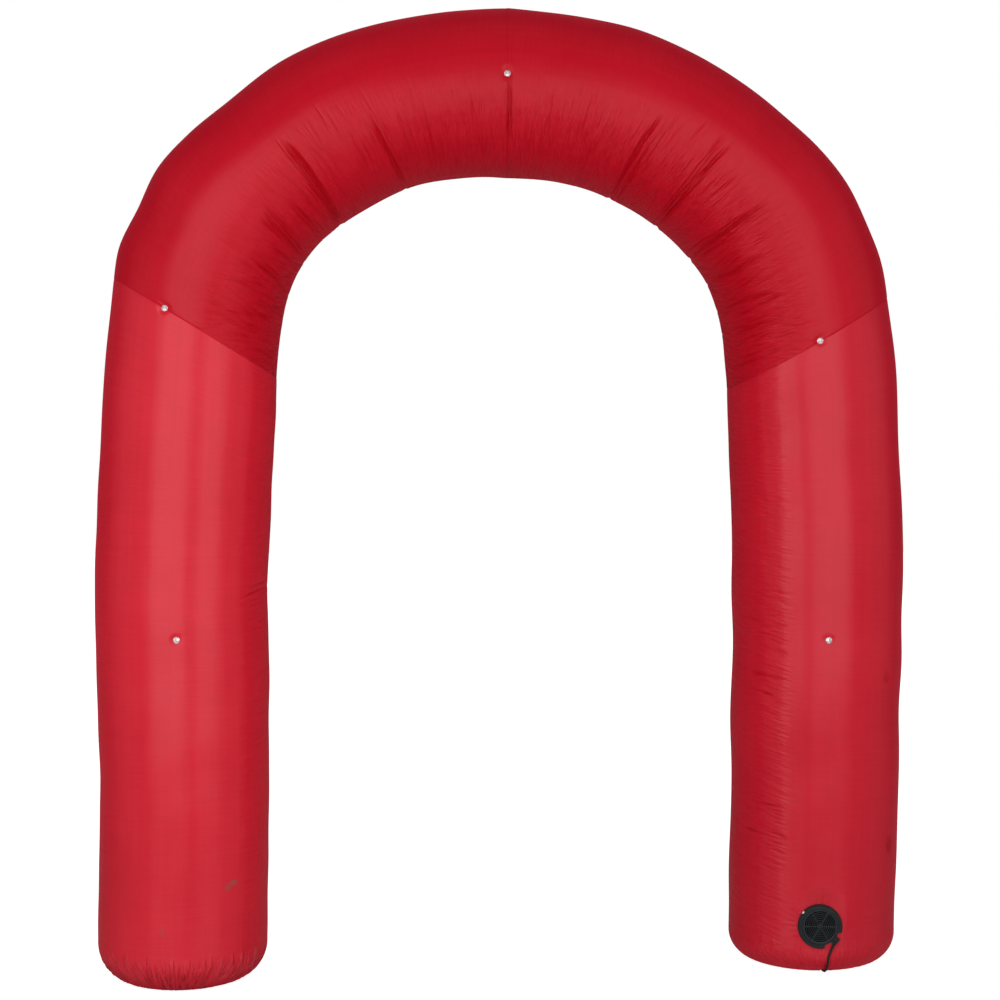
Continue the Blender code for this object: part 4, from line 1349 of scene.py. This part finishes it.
@dataclass
class Blower:
    """The blower: a notched flange with the lead's tab, a cup and a round grille."""

    frame: Matrix
    radius: float = 0.062
    thickness: float = 0.007
    cup: float = 0.0468
    wall: float = 0.0025
    depth: float = 0.030
    grille: float = 0.0457
    grille_thickness: float = 0.0025
    notch_floor: float = 0.0525
    notches: tuple[tuple[float, float], ...] = ((-31.0, -17.0), (-77.0, -53.0))
    tab_angle: float = -42.0
    tab_width: float = 0.022
    tab_reach: float = 0.0645
    tab_height: float = 0.011
    slots: int = 7
    hub: float = 0.0080
    bar: float = 0.0012
    band: float = 0.0020
    spokes: int = 6
    pucker: Pucker = Pucker((
        (20.0, 0.018, 0.0016), (40.0, 0.022, 0.0022), (52.0, 0.026, 0.0028), (62.0, 0.030, 0.0036),
        (70.0, 0.040, 0.0046), (77.0, 0.032, 0.0040), (84.0, 0.048, 0.0052), (91.0, 0.036, 0.0046),
        (98.0, 0.050, 0.0052), (106.0, 0.034, 0.0044), (114.0, 0.046, 0.0048), (123.0, 0.032, 0.0040),
        (132.0, 0.042, 0.0044), (142.0, 0.030, 0.0036), (152.0, 0.044, 0.0042), (162.0, 0.034, 0.0036),
        (172.0, 0.048, 0.0042), (182.0, 0.040, 0.0036), (193.0, 0.030, 0.0028), (206.0, 0.024, 0.0022),
        (224.0, 0.018, 0.0018), (250.0, 0.016, 0.0014)))

    @classmethod
    def on(cls, leg: LegShape, height: float, turn: float, sink: float) -> "Blower":
        """Place the blower in a leg.

        Args:
            leg: The leg.
            height: The blower's height.
            turn: Its turn round the tube.
            sink: How far its seat lies below the round of the cloth.

        Returns:
            The blower.
        """
        point = Vector(leg.grid(np.array([height]), np.array([turn])).points[0])
        angle = math.radians(turn)
        out = Vector((-math.sin(angle), -math.cos(angle), 0.0))
        right = Vector((math.cos(angle), -math.sin(angle), 0.0))
        made = Matrix((right, Vector((0.0, 0.0, 1.0)), out)).transposed().to_4x4()
        made.translation = point - out * sink
        return cls(made)

    def _local(self, points: Array) -> tuple[Array, Array]:
        """Return points in the blower's frame, and their distances from its axis."""
        inverse = np.array(self.frame.inverted())
        local = points @ inverse[:3, :3].T + inverse[:3, 3]
        return local, np.hypot(local[..., 0], local[..., 1])

    def pressed_flat(self, points: Array) -> Array:
        """Lay the cloth flat under the flange, and ease it back to round beyond."""
        local, away = self._local(points)
        near = (local[..., 2] > -0.05) & (local[..., 2] < 0.05)
        eased = (local[..., 2] + 0.0004) * smooth((away - 0.064) / 0.052) - 0.0004
        flat = np.where(near & (local[..., 2] > -0.0004), eased, local[..., 2])
        flat = np.where(near & (away < 0.066), -0.0004, flat)
        local[..., 2] = flat
        matrix = np.array(self.frame)
        return local @ matrix[:3, :3].T + matrix[:3, 3]

    def behind_flange(self, points: Array) -> Array:
        """Return which points lie where the cup goes through the cloth."""
        local, away = self._local(points)
        return (away < 0.0515) & (np.abs(local[..., 2]) < 0.05)

    def _notched(self, radius: float, height: float, angle: float) -> tuple[float, float]:
        """Draw the flange's edge in at its notches."""
        degrees = (math.degrees(angle) + 180.0) % 360.0 - 180.0
        inside = 0.0
        for low, high in self.notches:
            inside = max(inside, float(smooth((degrees - low + 0.8) / 1.6) * smooth((high + 0.8 - degrees) / 1.6)))
        if radius <= self.notch_floor:
            return radius, height
        return radius + (self.notch_floor - radius) * inside, height

    def build(self, wardrobe: Wardrobe) -> None:
        """Build and dress the blower."""
        wardrobe.fit(self._body(), ("blower_body",), "black_plastic", Finish.BLOWER, Finish.SHADED_CUP, Finish.FLANGE_GLINT)
        # The grille's rings take the lighter grille finish, a painted highlight; its hub takes the blower's black.
        wardrobe.fit(self._grille(), ("blower_grille",), "black_plastic", Finish.LIT_GRILLE, Finish.BLOWER)

    def _body(self) -> bpy.types.Object:
        """Return the flange with its cup and tab."""
        top, outer = self.thickness, self.radius
        ledge = top - self.grille_thickness - 0.0008
        inside = self.cup - self.wall - 0.0013
        profile = [(0.0, 0.004 - self.depth), (0.012, 0.004 - self.depth), (inside - 0.004, 0.003 - self.depth),
                   (inside, 0.007 - self.depth), (inside, ledge - 0.0006), (inside + 0.0006, ledge),
                   (self.grille + 0.0004, ledge), (self.grille + 0.0005, top - 0.0006)]
        profile += [(self.grille + 0.0011, top), (self.grille + 0.0024, top + 0.0004), (self.grille + 0.0042, top),
                    (outer - 0.0082, top - 0.0002), (outer - 0.0070, top - 0.0007), (outer - 0.0058, top - 0.0002)]
        for step in range(7):
            angle = math.radians(90.0 * step / 6)
            profile.append((outer - 0.0030 + 0.0030 * math.sin(angle), top - 0.0036 + 0.0034 * math.cos(angle)))
        profile += [(outer, 0.0004), (outer - 0.0004, 0.0), (self.cup, 0.0), (self.cup, 0.002 - self.depth),
                    (self.cup - 0.002, -self.depth), (0.0, -self.depth)]
        work = bmesh.new()
        lathe(work, profile, 360, self._notched)
        # Painted shade: the cup's inside, under the grille, takes the darker cup finish.
        for face in work.faces:
            middle = face.calc_center_median()
            if math.hypot(middle.x, middle.y) < self.grille and middle.z < ledge + 0.0001:
                face.material_index = 1
        turn = Matrix.Rotation(math.radians(self.tab_angle), 4, "Z")
        half = self.tab_width / 2
        soft_box(work, (self.notch_floor - 0.004, -half, 0.0006), (self.tab_reach, half, self.tab_height), 0.0012,
                 3, turn)
        soft_box(work, (self.notch_floor + 0.0006, -half + 0.0030, self.tab_height - 0.0010),
                 (self.tab_reach - 0.0022, half - 0.0030, self.tab_height + 0.0005), 0.0005, 2, turn)
        for index in (-1, 0, 1):
            soft_box(work, (self.notch_floor + 0.0018, 0.0042 * index - 0.0007, self.tab_height - 0.0004),
                     (self.tab_reach - 0.0034, 0.0042 * index + 0.0007, self.tab_height + 0.0010), 0.0003, 1, turn)
        # Painted highlight: a small pale lug on the flange's outer edge stands in for a glint there.
        spot = Matrix.Rotation(math.radians(140.0), 4, "Z")
        soft_box(work, (outer - 0.0032, -0.0034, 0.0010), (outer + 0.0004, 0.0034, top + 0.0004), 0.0008, 2, spot, 2)
        return from_work("blower_flange_with_cup", work, self.frame, 40.0)

    def _grille(self) -> bpy.types.Object:
        """Return the grille: rounded rings, tapered spokes and a domed hub."""
        work = bmesh.new()
        free = self.grille - self.band - self.hub - (self.slots - 1) * self.bar
        gap = free / self.slots
        low, high = 0.0, self.grille_thickness
        edge = self.hub
        for _ in range(self.slots - 1):
            edge += gap
            self._ring(work, edge, edge + self.bar, low, high)
            edge += self.bar
        self._ring(work, self.grille - self.band, self.grille, low, high)
        before = set(work.faces)
        lathe(work, [(0.0, high - 0.0010), (self.hub * 0.9, high - 0.0010), (self.hub, high - 0.0014),
                     (self.hub, low), (0.0, low)], 72)
        for face in set(work.faces) - before:
            face.material_index = 1
        for share in (0.40, 0.94):
            self._ring(work, self.hub * share - 0.0006, self.hub * share + 0.0005, high - 0.0014, high)
        for spoke in range(self.spokes):
            turn = Matrix.Rotation(math.tau * spoke / self.spokes, 4, "Z")
            self._spoke(work, turn, low + 0.0001, high + 0.0002)
        lift = self.thickness - self.grille_thickness - 0.0005
        return from_work("blower_grille_rings", work, self.frame @ Matrix.Translation((0.0, 0.0, lift)), 50.0)

    def _ring(self, work: bmesh.types.BMesh, inner: float, outer: float, low: float, high: float) -> None:
        """Add one rounded ring between two radii and two heights."""
        soft = min(0.0005, (outer - inner) / 3)
        lathe(work, [(inner, high - soft), (inner + soft, high), (outer - soft, high), (outer, high - soft),
                     (outer, low), (inner, low)], 120, None, True)

    def _spoke(self, work: bmesh.types.BMesh, turn: Matrix, low: float, high: float) -> None:
        """Add one spoke that widens towards the rim.

        Args:
            work: The mesh that it is added to.
            turn: The spoke's way.
            low: Its lower side.
            high: Its upper side.
        """
        near, far = self.hub - 0.001, self.grille - self.band / 2
        narrow, wide = 0.0005, 0.0008
        outline = ((near, -narrow), (far, -wide), (far, wide), (near, narrow))
        lower = [work.verts.new(turn @ Vector((x, y, low))) for x, y in outline]
        edge = [work.verts.new(turn @ Vector((x, y, high - 0.0004))) for x, y in outline]
        upper = [work.verts.new(turn @ Vector((x, y * 0.6, high))) for x, y in outline]
        for first, second in ((lower, edge), (edge, upper)):
            for index in range(4):
                after = (index + 1) % 4
                work.faces.new((first[index], first[after], second[after], second[index]))
        work.faces.new(lower)
        work.faces.new(upper)


# ---------------------------------------------------------------------------------------------
# Mains lead
# ---------------------------------------------------------------------------------------------


@dataclass
class Lead:
    """The mains lead: its relief, its way under the foot, its coil with the tie, and its plug."""

    radius: float = 0.00325
    length: float = 1.80
    exit: Triple = (0.90259, -0.20442, 0.09134)
    way: Triple = (-0.38693, 0.05438, -0.92050)
    route: tuple[Triple, ...] = (
        (0.8938, -0.2032, 0.0705), (0.8911, -0.2028, 0.0641), (0.8890, -0.2020, 0.0560), (0.8884, -0.1988, 0.0420),
        (0.8876, -0.1925, 0.0280), (0.8867, -0.1815, 0.0150), (0.8862, -0.1660, 0.0063), (0.8860, -0.1480, 0.0042),
        (0.886, -0.120, 0.0041), (0.886, -0.080, 0.0041), (0.886, -0.030, 0.0041), (0.886, 0.030, 0.0041),
        (0.886, 0.090, 0.0041), (0.886, 0.150, 0.0041), (0.886, 0.205, 0.0041), (0.886, 0.250, 0.0042),
        (0.886, 0.2805, 0.0045), (0.886, 0.3005, 0.0048))
    coil_middle: tuple[float, float] = (0.9286, 0.3250)
    outer_turn: float = 0.0426
    lift: float = 0.0018
    coil_turns: float = 5.25
    relief_length: float = 0.022
    plug_body: Triple = (0.036, 0.026, 0.0208)
    sleeve: float = 0.018

    def _heights(self, turn: float) -> float:
        """Return the height of the coil's middle line at a turn."""
        low = self.lift + self.radius
        return low + 2 * self.radius * float(smooth(turn - 2.0))

    def _radii(self, turn: float) -> float:
        """Return the radius of the coil at a turn, each turn lying against the one before."""
        width = 2 * self.radius
        if turn <= 2.0:
            return self.outer_turn - width * turn
        rise = self._heights(turn) - self._heights(turn - 1.0)
        across = math.sqrt(max(0.0, width * width - rise * rise))
        if turn <= 3.0:
            return self._radii(turn - 1.0) - across
        return self._radii(turn - 1.0) + across

    def path(self) -> list[Vector]:
        """Return the lead's middle line, from the tab to the plug."""
        start, way = Vector(self.exit), Vector(self.way)
        points = [start, start + way * 0.011]
        points += self._even([Vector(point) for point in self.route], 0.016)
        middle = Vector((*self.coil_middle, 0.0))
        steps = 22
        for index in range(1, round(self.coil_turns * steps) + 1):
            turn = index / steps
            angle = math.pi - turn * math.tau
            radius = self._radii(turn)
            flat = Vector((math.cos(angle), math.sin(angle), 0.0)) * radius
            points.append(middle + flat + Vector((0.0, 0.0, self._heights(turn))))
        last = points[-1]
        sleeve = self.plug_frame().translation
        points.append(Vector(((last.x + sleeve.x) / 2, sleeve.y, (last.z + sleeve.z) / 2)))
        points.append(sleeve)
        points.append(sleeve + Vector((0.008, 0.0, 0.0)))
        return points

    def _even(self, points: list[Vector], step: float) -> list[Vector]:
        """Read points a step apart from one smooth curve through the given ones."""
        ends = [points[0] * 2 - points[1]] + points + [points[-1] * 2 - points[-2]]
        fine = []
        for index in range(1, len(ends) - 2):
            before, low, high, after = ends[index - 1:index + 3]
            for part in range(30):
                t = part / 30.0
                square = 2 * before - 5 * low + 4 * high - after
                cube = 3 * low - before - 3 * high + after
                fine.append(0.5 * (2 * low + (high - before) * t + square * t**2 + cube * t**3))
        fine.append(points[-1])
        table = np.array([tuple(point) for point in fine])
        lengths = np.concatenate(([0.0], np.cumsum(np.linalg.norm(np.diff(table, axis=0), axis=1))))
        places = np.linspace(0.0, lengths[-1], max(2, round(lengths[-1] / step)) + 1)
        return [Vector([float(np.interp(place, lengths, table[:, axis])) for axis in range(3)]) for place in places]

    def plug_frame(self) -> Matrix:
        """Return the plug's frame, at the mouth of its sleeve."""
        wall, side = 0.04605, self.outer_turn - 0.0044
        x = math.sqrt(wall * wall - side * side) + 0.0006
        height = self.plug_body[2] / 2 + 0.0003
        return Matrix.Translation((self.coil_middle[0] + x, self.coil_middle[1] + self.outer_turn, height))

    def build(self, wardrobe: Wardrobe) -> None:
        curve = bpy.data.curves.new("mains_lead", "CURVE")
        curve.dimensions = "3D"
        curve.bevel_depth = self.radius
        curve.bevel_resolution = 4
        curve.use_fill_caps = True
        path = self.path()
        spline = curve.splines.new("POLY")
        spline.points.add(len(path) - 1)
        for target, point in zip(spline.points, path):
            target.co = (*point, 1.0)
        spline.use_smooth = True
        lead = bpy.data.objects.new("mains_lead", curve)
        bpy.context.scene.collection.objects.link(lead)
        wardrobe.fit(lead, ("cord", "cord_coil"), "black_lead", Finish.LEAD)
        relief = wardrobe.fit(self._relief(), ("cord_relief",), "black_lead", Finish.LEAD)
        tie = wardrobe.fit(self._tie(), ("cord_tie",), "black_lead", Finish.LEAD)
        plug = wardrobe.fit(self._plug(), ("plug",), "black_plug", Finish.PLUG, Finish.BLADE)
        2 * self.radius

    def _relief(self) -> bpy.types.Object:
        """Return the tapered relief, with its grooves."""
        profile = [(0.0, 0.0006), (0.0044, 0.0006), (0.0046, 0.0010), (0.0046, 0.0026), (0.0044, 0.0030)]
        for index in range(5):
            base = 0.0042 + index * 0.0034
            wide = 0.0045 - 0.00020 * (index + 1)
            profile += [(wide - 0.0007, base), (wide - 0.0007, base + 0.0008), (wide, base + 0.0012),
                        (wide, base + 0.0026)]
        profile += [(0.0038, self.relief_length - 0.0006), (0.0036, self.relief_length), (0.0, self.relief_length)]
        work = bmesh.new()
        lathe(work, profile, 40)
        return from_work("lead_relief", work, seat(Vector(self.exit), Vector(self.way), 0.0), 40.0)

    def _tie(self) -> bpy.types.Object:
        """Return the band that holds the coil's turns together."""
        half = 3 * self.radius + 0.0008
        near, far = 0.0361 - half, 0.0361 + half
        low, high = self.lift - 0.0006, self.lift + 4 * self.radius + 0.0006
        outer, inner = self._loop(near, far, low, high, 0.0011), self._loop(near, far, low, high, 0.0)
        work = bmesh.new()
        rows = []
        for y, loop in ((-0.0040, inner), (-0.0040, outer), (-0.0034, outer), (0.0034, outer), (0.0040, outer),
                        (0.0040, inner)):
            rows.append([work.verts.new((x, y, z)) for x, z in loop])
        for low_row, high_row in zip(rows, rows[1:] + rows[:1]):
            for index in range(len(low_row)):
                after = (index + 1) % len(low_row)
                work.faces.new((low_row[index], low_row[after], high_row[after], high_row[index]))
        soft_box(work, (far - 0.0045, -0.0046, high + 0.0003), (far - 0.0010, 0.0046, high + 0.0018), 0.0004, 2)
        place = Matrix.Translation((*self.coil_middle, 0.0)) @ Matrix.Rotation(math.radians(-20.0), 4, "Z")
        return from_work("coil_tie", work, place, 40.0)

    @staticmethod
    def _loop(near: float, far: float, low: float, high: float, grow: float) -> list[tuple[float, float]]:
        """Return a rounded loop round the coil's section, grown outwards by a thickness."""
        soft = 0.0026
        points = []
        corners = ((far - soft, high - soft, 0.0), (near + soft, high - soft, 90.0), (near + soft, low + soft, 180.0),
                   (far - soft, low + soft, 270.0))
        for x, z, first in corners:
            for step in range(6):
                angle = math.radians(first + 90.0 * step / 5)
                points.append((x + (soft + grow) * math.cos(angle), z + (soft + grow) * math.sin(angle)))
        return points

    def _plug(self) -> bpy.types.Object:
        """Return the plug: its ridged sleeve, its soft-edged body with grip ribs, and two blades."""
        length, width, height = self.plug_body
        work = bmesh.new()
        soft_box(work, (self.sleeve, -width / 2, -height / 2), (self.sleeve + length, width / 2, height / 2), 0.0042, 5)
        for index in range(4):
            x = self.sleeve + 0.009 + 0.0042 * index
            for side in (-1.0, 1.0):
                soft_box(work, (x, side * width / 2 - 0.0009, -height / 2 + 0.0052),
                         (x + 0.0018, side * width / 2 + 0.0002, height / 2 - 0.0052), 0.0004, 2)
        aim = Matrix.Rotation(math.radians(90.0), 4, "Y")
        profile = [(0.0033, 0.0), (0.0042, 0.0), (0.0044, 0.0006)]
        for index in range(4):
            base = 0.0022 + 0.0040 * index
            wide = 0.0046 + 0.00062 * (index + 1)
            profile += [(wide - 0.0007, base), (wide - 0.0006, base + 0.0010), (wide, base + 0.0014),
                        (wide, base + 0.0030)]
        profile += [(0.0074, self.sleeve), (0.0072, self.sleeve + 0.004), (0.0033, self.sleeve + 0.004)]
        sleeve = bmesh.new()
        lathe(sleeve, profile, 40, None, True)
        bmesh.ops.transform(sleeve, matrix=aim, verts=sleeve.verts)
        mesh = bpy.data.meshes.new("sleeve")
        sleeve.to_mesh(mesh)
        sleeve.free()
        work.from_mesh(mesh)
        bpy.data.meshes.remove(mesh)
        end = self.sleeve + length
        for side in (-1.0, 1.0):
            y = side * 0.00635
            soft_box(work, (end - 0.002, y - 0.00075, -0.00315), (end + 0.0158, y + 0.00075, 0.00315), 0.0003, 2,
                     None, 1)
        return from_work("lead_plug", work, self.plug_frame(), 40.0)


# ---------------------------------------------------------------------------------------------
# Studio
# ---------------------------------------------------------------------------------------------


@dataclass
class Studio:
    """The plain pale floor, the two tall soft lights and the camera."""

    distance: float = 5.1
    height: float = 1.38
    azimuth: float = 4.5
    focal: float = 1777.9
    shift: tuple[float, float] = (-0.0070, -0.0169)
    light_sides: tuple[Triple, ...] = ((-2.80, -0.52, 2.65), (0.015, 2.34, 2.15))
    light_front: float = -2.55
    light_heights: tuple[float, float] = (0.30, 3.50)
    ambient: float = 0.95

    def build(self) -> None:
        """Set up the camera, the lights, the surroundings and the floor."""
        scene = bpy.context.scene
        scene.view_settings.view_transform = "Standard"
        turn = math.radians(self.azimuth)
        lens = bpy.data.cameras.new("camera")
        lens.sensor_width = 36.0
        lens.lens = 36.0 * self.focal / 1000.0
        lens.shift_x, lens.shift_y = self.shift
        camera = bpy.data.objects.new("camera", lens)
        camera.location = (FAN_X - self.distance * math.sin(turn), -self.distance * math.cos(turn), self.height)
        camera.rotation_euler = (math.pi / 2, 0.0, -turn)
        scene.collection.objects.link(camera)
        scene.camera = camera
        for left, right, strength in self.light_sides:
            self._light(left, right, strength)
        self._surroundings()
        self._floor()
        LOG.info("studio")

    def _light(self, left: float, right: float, strength: float) -> None:
        """Hang one tall soft light in front.

        Args:
            left: Where its left edge is.
            right: Where its right edge is.
            strength: How bright its face is.
        """
        low, high = self.light_heights
        lamp = bpy.data.lights.new("soft light", "AREA")
        lamp.shape = "RECTANGLE"
        lamp.size, lamp.size_y = right - left, high - low
        lamp.energy = strength * math.pi * lamp.size * lamp.size_y
        lamp.color = (1.0, 0.985, 0.97)
        light = bpy.data.objects.new("soft light", lamp)
        light.location = ((left + right) / 2, self.light_front, (low + high) / 2)
        light.rotation_euler = (math.pi / 2, 0.0, 0.0)
        light.visible_camera = False
        bpy.context.scene.collection.objects.link(light)

    def _surroundings(self) -> None:
        """Make the surroundings white to the eye and dimmer as light, more so overhead."""
        world = bpy.data.worlds.new("studio")
        bpy.context.scene.world = world
        paint = Paint(world)
        way = paint.node("ShaderNodeTexCoord", out="Generated")
        up = paint.node("ShaderNodeSeparateXYZ", {}, {0: way}, 2)
        back = paint.node("ShaderNodeSeparateXYZ", {}, {0: way}, 1)
        glow = paint.mixed(up.ease(0.10, 0.80), (1.0, 0.99, 0.98, 1.0), (0.40, 0.40, 0.40, 1.0))
        glow = paint.mixed(back.ease(-0.35, 0.45), glow, (0.05, 0.05, 0.05, 1.0))
        lit = paint.node("ShaderNodeBackground", {}, {"Color": glow, "Strength": self.ambient})
        seen = paint.node("ShaderNodeBackground", {}, {"Color": (1.0, 1.0, 1.0, 1.0), "Strength": 1.0})
        ray = paint.node("ShaderNodeLightPath", out="Is Camera Ray")
        paint.done(paint.node("ShaderNodeMixShader", {}, {0: ray, 1: lit, 2: seen}), "ShaderNodeOutputWorld")

    def _floor(self) -> None:
        """Lay the pale floor."""
        work = bmesh.new()
        bmesh.ops.create_grid(work, x_segments=2, y_segments=2, size=30.0)
        floor = from_work("floor", work, Matrix.Translation((0.0, 0.0, -0.0006)))
        paint = Paint.new("pale floor")
        place = paint.place()
        haze = paint.noise(place, 0.8, 2.0)
        colour = paint.mixed(haze, (0.78, 0.78, 0.78, 1.0), (0.82, 0.82, 0.82, 1.0))
        away = paint.node("ShaderNodeVectorMath", {"operation": "LENGTH"}, {0: place}, "Value")
        glow = paint.mixed(away.ease(1.2, 4.5), (0.86, 0.86, 0.86, 1.0), (1.0, 1.0, 1.0, 1.0))
        lit = paint.surface(Base_Color=colour, Roughness=0.12, Metallic=0.45)
        seen = paint.surface(Base_Color=colour, Roughness=0.7, Specular_IOR_Level=0.0, Emission_Color=glow,
                             Emission_Strength=1.0)
        ray = paint.node("ShaderNodeLightPath", out="Is Camera Ray")
        floor.data.materials.append(paint.done(paint.node("ShaderNodeMixShader", {}, {0: ray, 1: lit, 2: seen})))


# ---------------------------------------------------------------------------------------------
# The arch
# ---------------------------------------------------------------------------------------------

LEFT_CROWN_CREASES = (
    Crease(102.4, 102.2, 12.0, 110.0, 0.0018, 0.0026),
    Crease(109.4, 107.1, 6.0, 130.0, 0.0078, 0.0040),
    Crease(112.6, 111.2, 14.0, 110.0, 0.0018, 0.0026),
    Crease(121.1, 119.6, -6.0, 140.0, 0.0125, 0.0056, 16.0),
    Crease(124.8, 123.4, 26.0, 120.0, 0.0042, 0.0034),
    Crease(129.3, 128.4, 14.0, 125.0, 0.0064, 0.0040),
    Crease(135.0, 134.4, 22.0, 120.0, 0.0044, 0.0036),
    Crease(141.0, 140.4, 26.0, 120.0, 0.0024, 0.0034),
)
RIGHT_CROWN_CREASES = (
    Crease(35.8, 40.4, 18.0, 120.0, 0.0040, 0.0034),
    Crease(40.4, 44.3, 20.0, 120.0, 0.0050, 0.0036),
    Crease(46.1, 49.1, 20.0, 125.0, 0.0056, 0.0036),
    Crease(51.6, 54.6, 4.0, 135.0, 0.0096, 0.0048),
    Crease(60.1, 62.6, -8.0, 140.0, 0.0105, 0.0050),
    Crease(69.6, 72.1, -2.0, 140.0, 0.0100, 0.0046),
    Crease(77.4, 78.1, 24.0, 120.0, 0.0026, 0.0028),
)
LEFT_CROWN_ZONES = (
    CreaseZone(91.0, 121.0, 100, (-12.0, 50.0), (20.0, 60.0), (0.0005, 0.0026), (0.0018, 0.0034), (-0.6, 0.4), 11),
    CreaseZone(121.0, 130.0, 38, (-6.0, 60.0), (18.0, 60.0), (0.0008, 0.0036), (0.0020, 0.0040), (-2.6, -0.6), 13),
    CreaseZone(130.0, 147.8, 120, (6.0, 66.0), (16.0, 46.0), (0.0008, 0.0036), (0.0022, 0.0042), (-5.5, -2.5), 12),
)
RIGHT_CROWN_ZONES = (
    CreaseZone(59.0, 89.0, 100, (-12.0, 50.0), (20.0, 60.0), (0.0005, 0.0026), (0.0018, 0.0034), (-0.4, 0.6), 21),
    CreaseZone(31.0, 59.0, 130, (2.0, 62.0), (18.0, 54.0), (0.0006, 0.0034), (0.0020, 0.0040), (-0.6, 0.9), 22),
)
LEFT_LEG_CREASES = (
    Crease(1.062, 1.092, 42.0, 104.0, 0.0042, 0.0036, 16.0, 20.0, 0.4),
    Crease(1.092, 1.112, 50.0, 96.0, 0.0026, 0.0032, 14.0, 20.0, 0.4),
    Crease(0.742, 0.750, 54.0, 96.0, 0.0022, 0.0032, 14.0, 20.0, 0.4),
)
RIGHT_LEG_CREASES = (
    Crease(0.380, 0.400, 40.0, 76.0, 0.0026, 0.0030, 12.0, 16.0, 0.4),
    Crease(0.466, 0.486, 36.0, 74.0, 0.0026, 0.0030, 12.0, 16.0, 0.4),
    Crease(0.780, 0.806, 38.0, 76.0, 0.0026, 0.0030, 12.0, 16.0, 0.4),
    Crease(0.828, 0.852, 32.0, 68.0, 0.0032, 0.0032, 12.0, 16.0, 0.4),
)
LEFT_LEG_ZONES = (
    CreaseZone(0.16, 1.75, 90, (42.0, 70.0), (12.0, 26.0), (0.0003, 0.0012), (0.0026, 0.0040), (0.01, 0.08), 31),
    CreaseZone(0.98, 1.16, 22, (40.0, 66.0), (12.0, 30.0), (0.0006, 0.0022), (0.0026, 0.0040), (0.02, 0.08), 32),
)
RIGHT_LEG_ZONES = (
    CreaseZone(0.22, 1.68, 140, (28.0, 60.0), (10.0, 26.0), (0.0003, 0.0010), (0.0024, 0.0036), (0.01, 0.08), 41),
    CreaseZone(0.27, 0.50, 60, (28.0, 58.0), (10.0, 26.0), (0.0005, 0.0020), (0.0022, 0.0034), (0.02, 0.09), 42),
    CreaseZone(0.72, 1.08, 80, (28.0, 58.0), (10.0, 26.0), (0.0005, 0.0020), (0.0022, 0.0034), (0.02, 0.09), 43),
)


def main() -> None:
    """Build the arch, its blower and lead, and the studio round them."""
    logging.basicConfig(level=logging.INFO, format="%(name)s: %(message)s")
    Studio().build()
    wardrobe = Wardrobe()
    Lead().build(wardrobe)

    left_shape = LegShape(LEFT_LEG, -1.0, 0.100, 0.008)
    right_shape = LegShape(RIGHT_LEG, 1.0, 0.077, 0.006)
    blower = Blower.on(right_shape, 0.140, 8.0, 0.009)
    left_leg = Leg("left_leg_cloth", "leg_left", Finish.LEFT_LEG, left_shape, LEFT_LEG_CREASES, LEFT_LEG_ZONES,
                   Gathers(56, -95.0, 95.0, (0.040, 0.108), (0.0012, 0.0040), (0.0034, 0.0060), 51),
                   Ripple(0.0010, 61), ((0.10, 0.14, 0.0042), (0.14, 0.98, 0.0045), (0.98, 1.18, 0.0026)))
    right_leg = Leg("right_leg_cloth", "leg_right", Finish.RIGHT_LEG, right_shape, RIGHT_LEG_CREASES,
                    RIGHT_LEG_ZONES,
                    Gathers(34, -95.0, 95.0, (0.000, 0.055), (0.0005, 0.0018), (0.0040, 0.0070), 52),
                    Ripple(0.0010, 62), ((0.08, 0.14, 0.0036), (0.14, 0.29, 0.0040), (0.29, 0.54, 0.0023),
                                         (0.54, 0.78, 0.0055), (0.78, 1.12, 0.0026)), 0.886)
    left_half = CrownHalf("left_crown_cloth", "crown_left", CrownShape(LEFT_CROWN), LEFT_SEAM,
                          LEFT_CROWN_CREASES, LEFT_CROWN_ZONES, Ripple(0.0010, 63))
    right_half = CrownHalf("right_crown_cloth", "crown_right", CrownShape(RIGHT_CROWN), RIGHT_SEAM,
                           RIGHT_CROWN_CREASES, RIGHT_CROWN_ZONES, Ripple(0.0010, 64))

    seats = {
        "button_leg_left": (left_leg.button_seat(0.958, 2.0, 0.0030), 0.0030),
        "button_leg_right": (right_leg.button_seat(0.942, 6.0, 0.0030), 0.0030),
        "button_haunch_left": (left_half.button_seat(LEFT_SEAM, -16.0, 0.0042), 0.0042),
        "button_haunch_right": (right_half.button_seat(RIGHT_SEAM, 5.0, 0.0042), 0.0042),
        "button_crown": (left_half.button_seat(CROWN_SEAM, -1.0, 0.0042), 0.0042),
    }
    dimples = [Dimple(place.translation, sink) for place, sink in seats.values()]
    left_leg.build(wardrobe, dimples)
    right_leg.build(wardrobe, dimples, blower)
    left_half.build(wardrobe, dimples)
    right_half.build(wardrobe, dimples)
    for node, (place, sink) in seats.items():
        LightButton(node, place, sink).build(wardrobe)
    blower.build(wardrobe)

    LOG.info("sizes written")


if __name__ == "__main__":
    main()
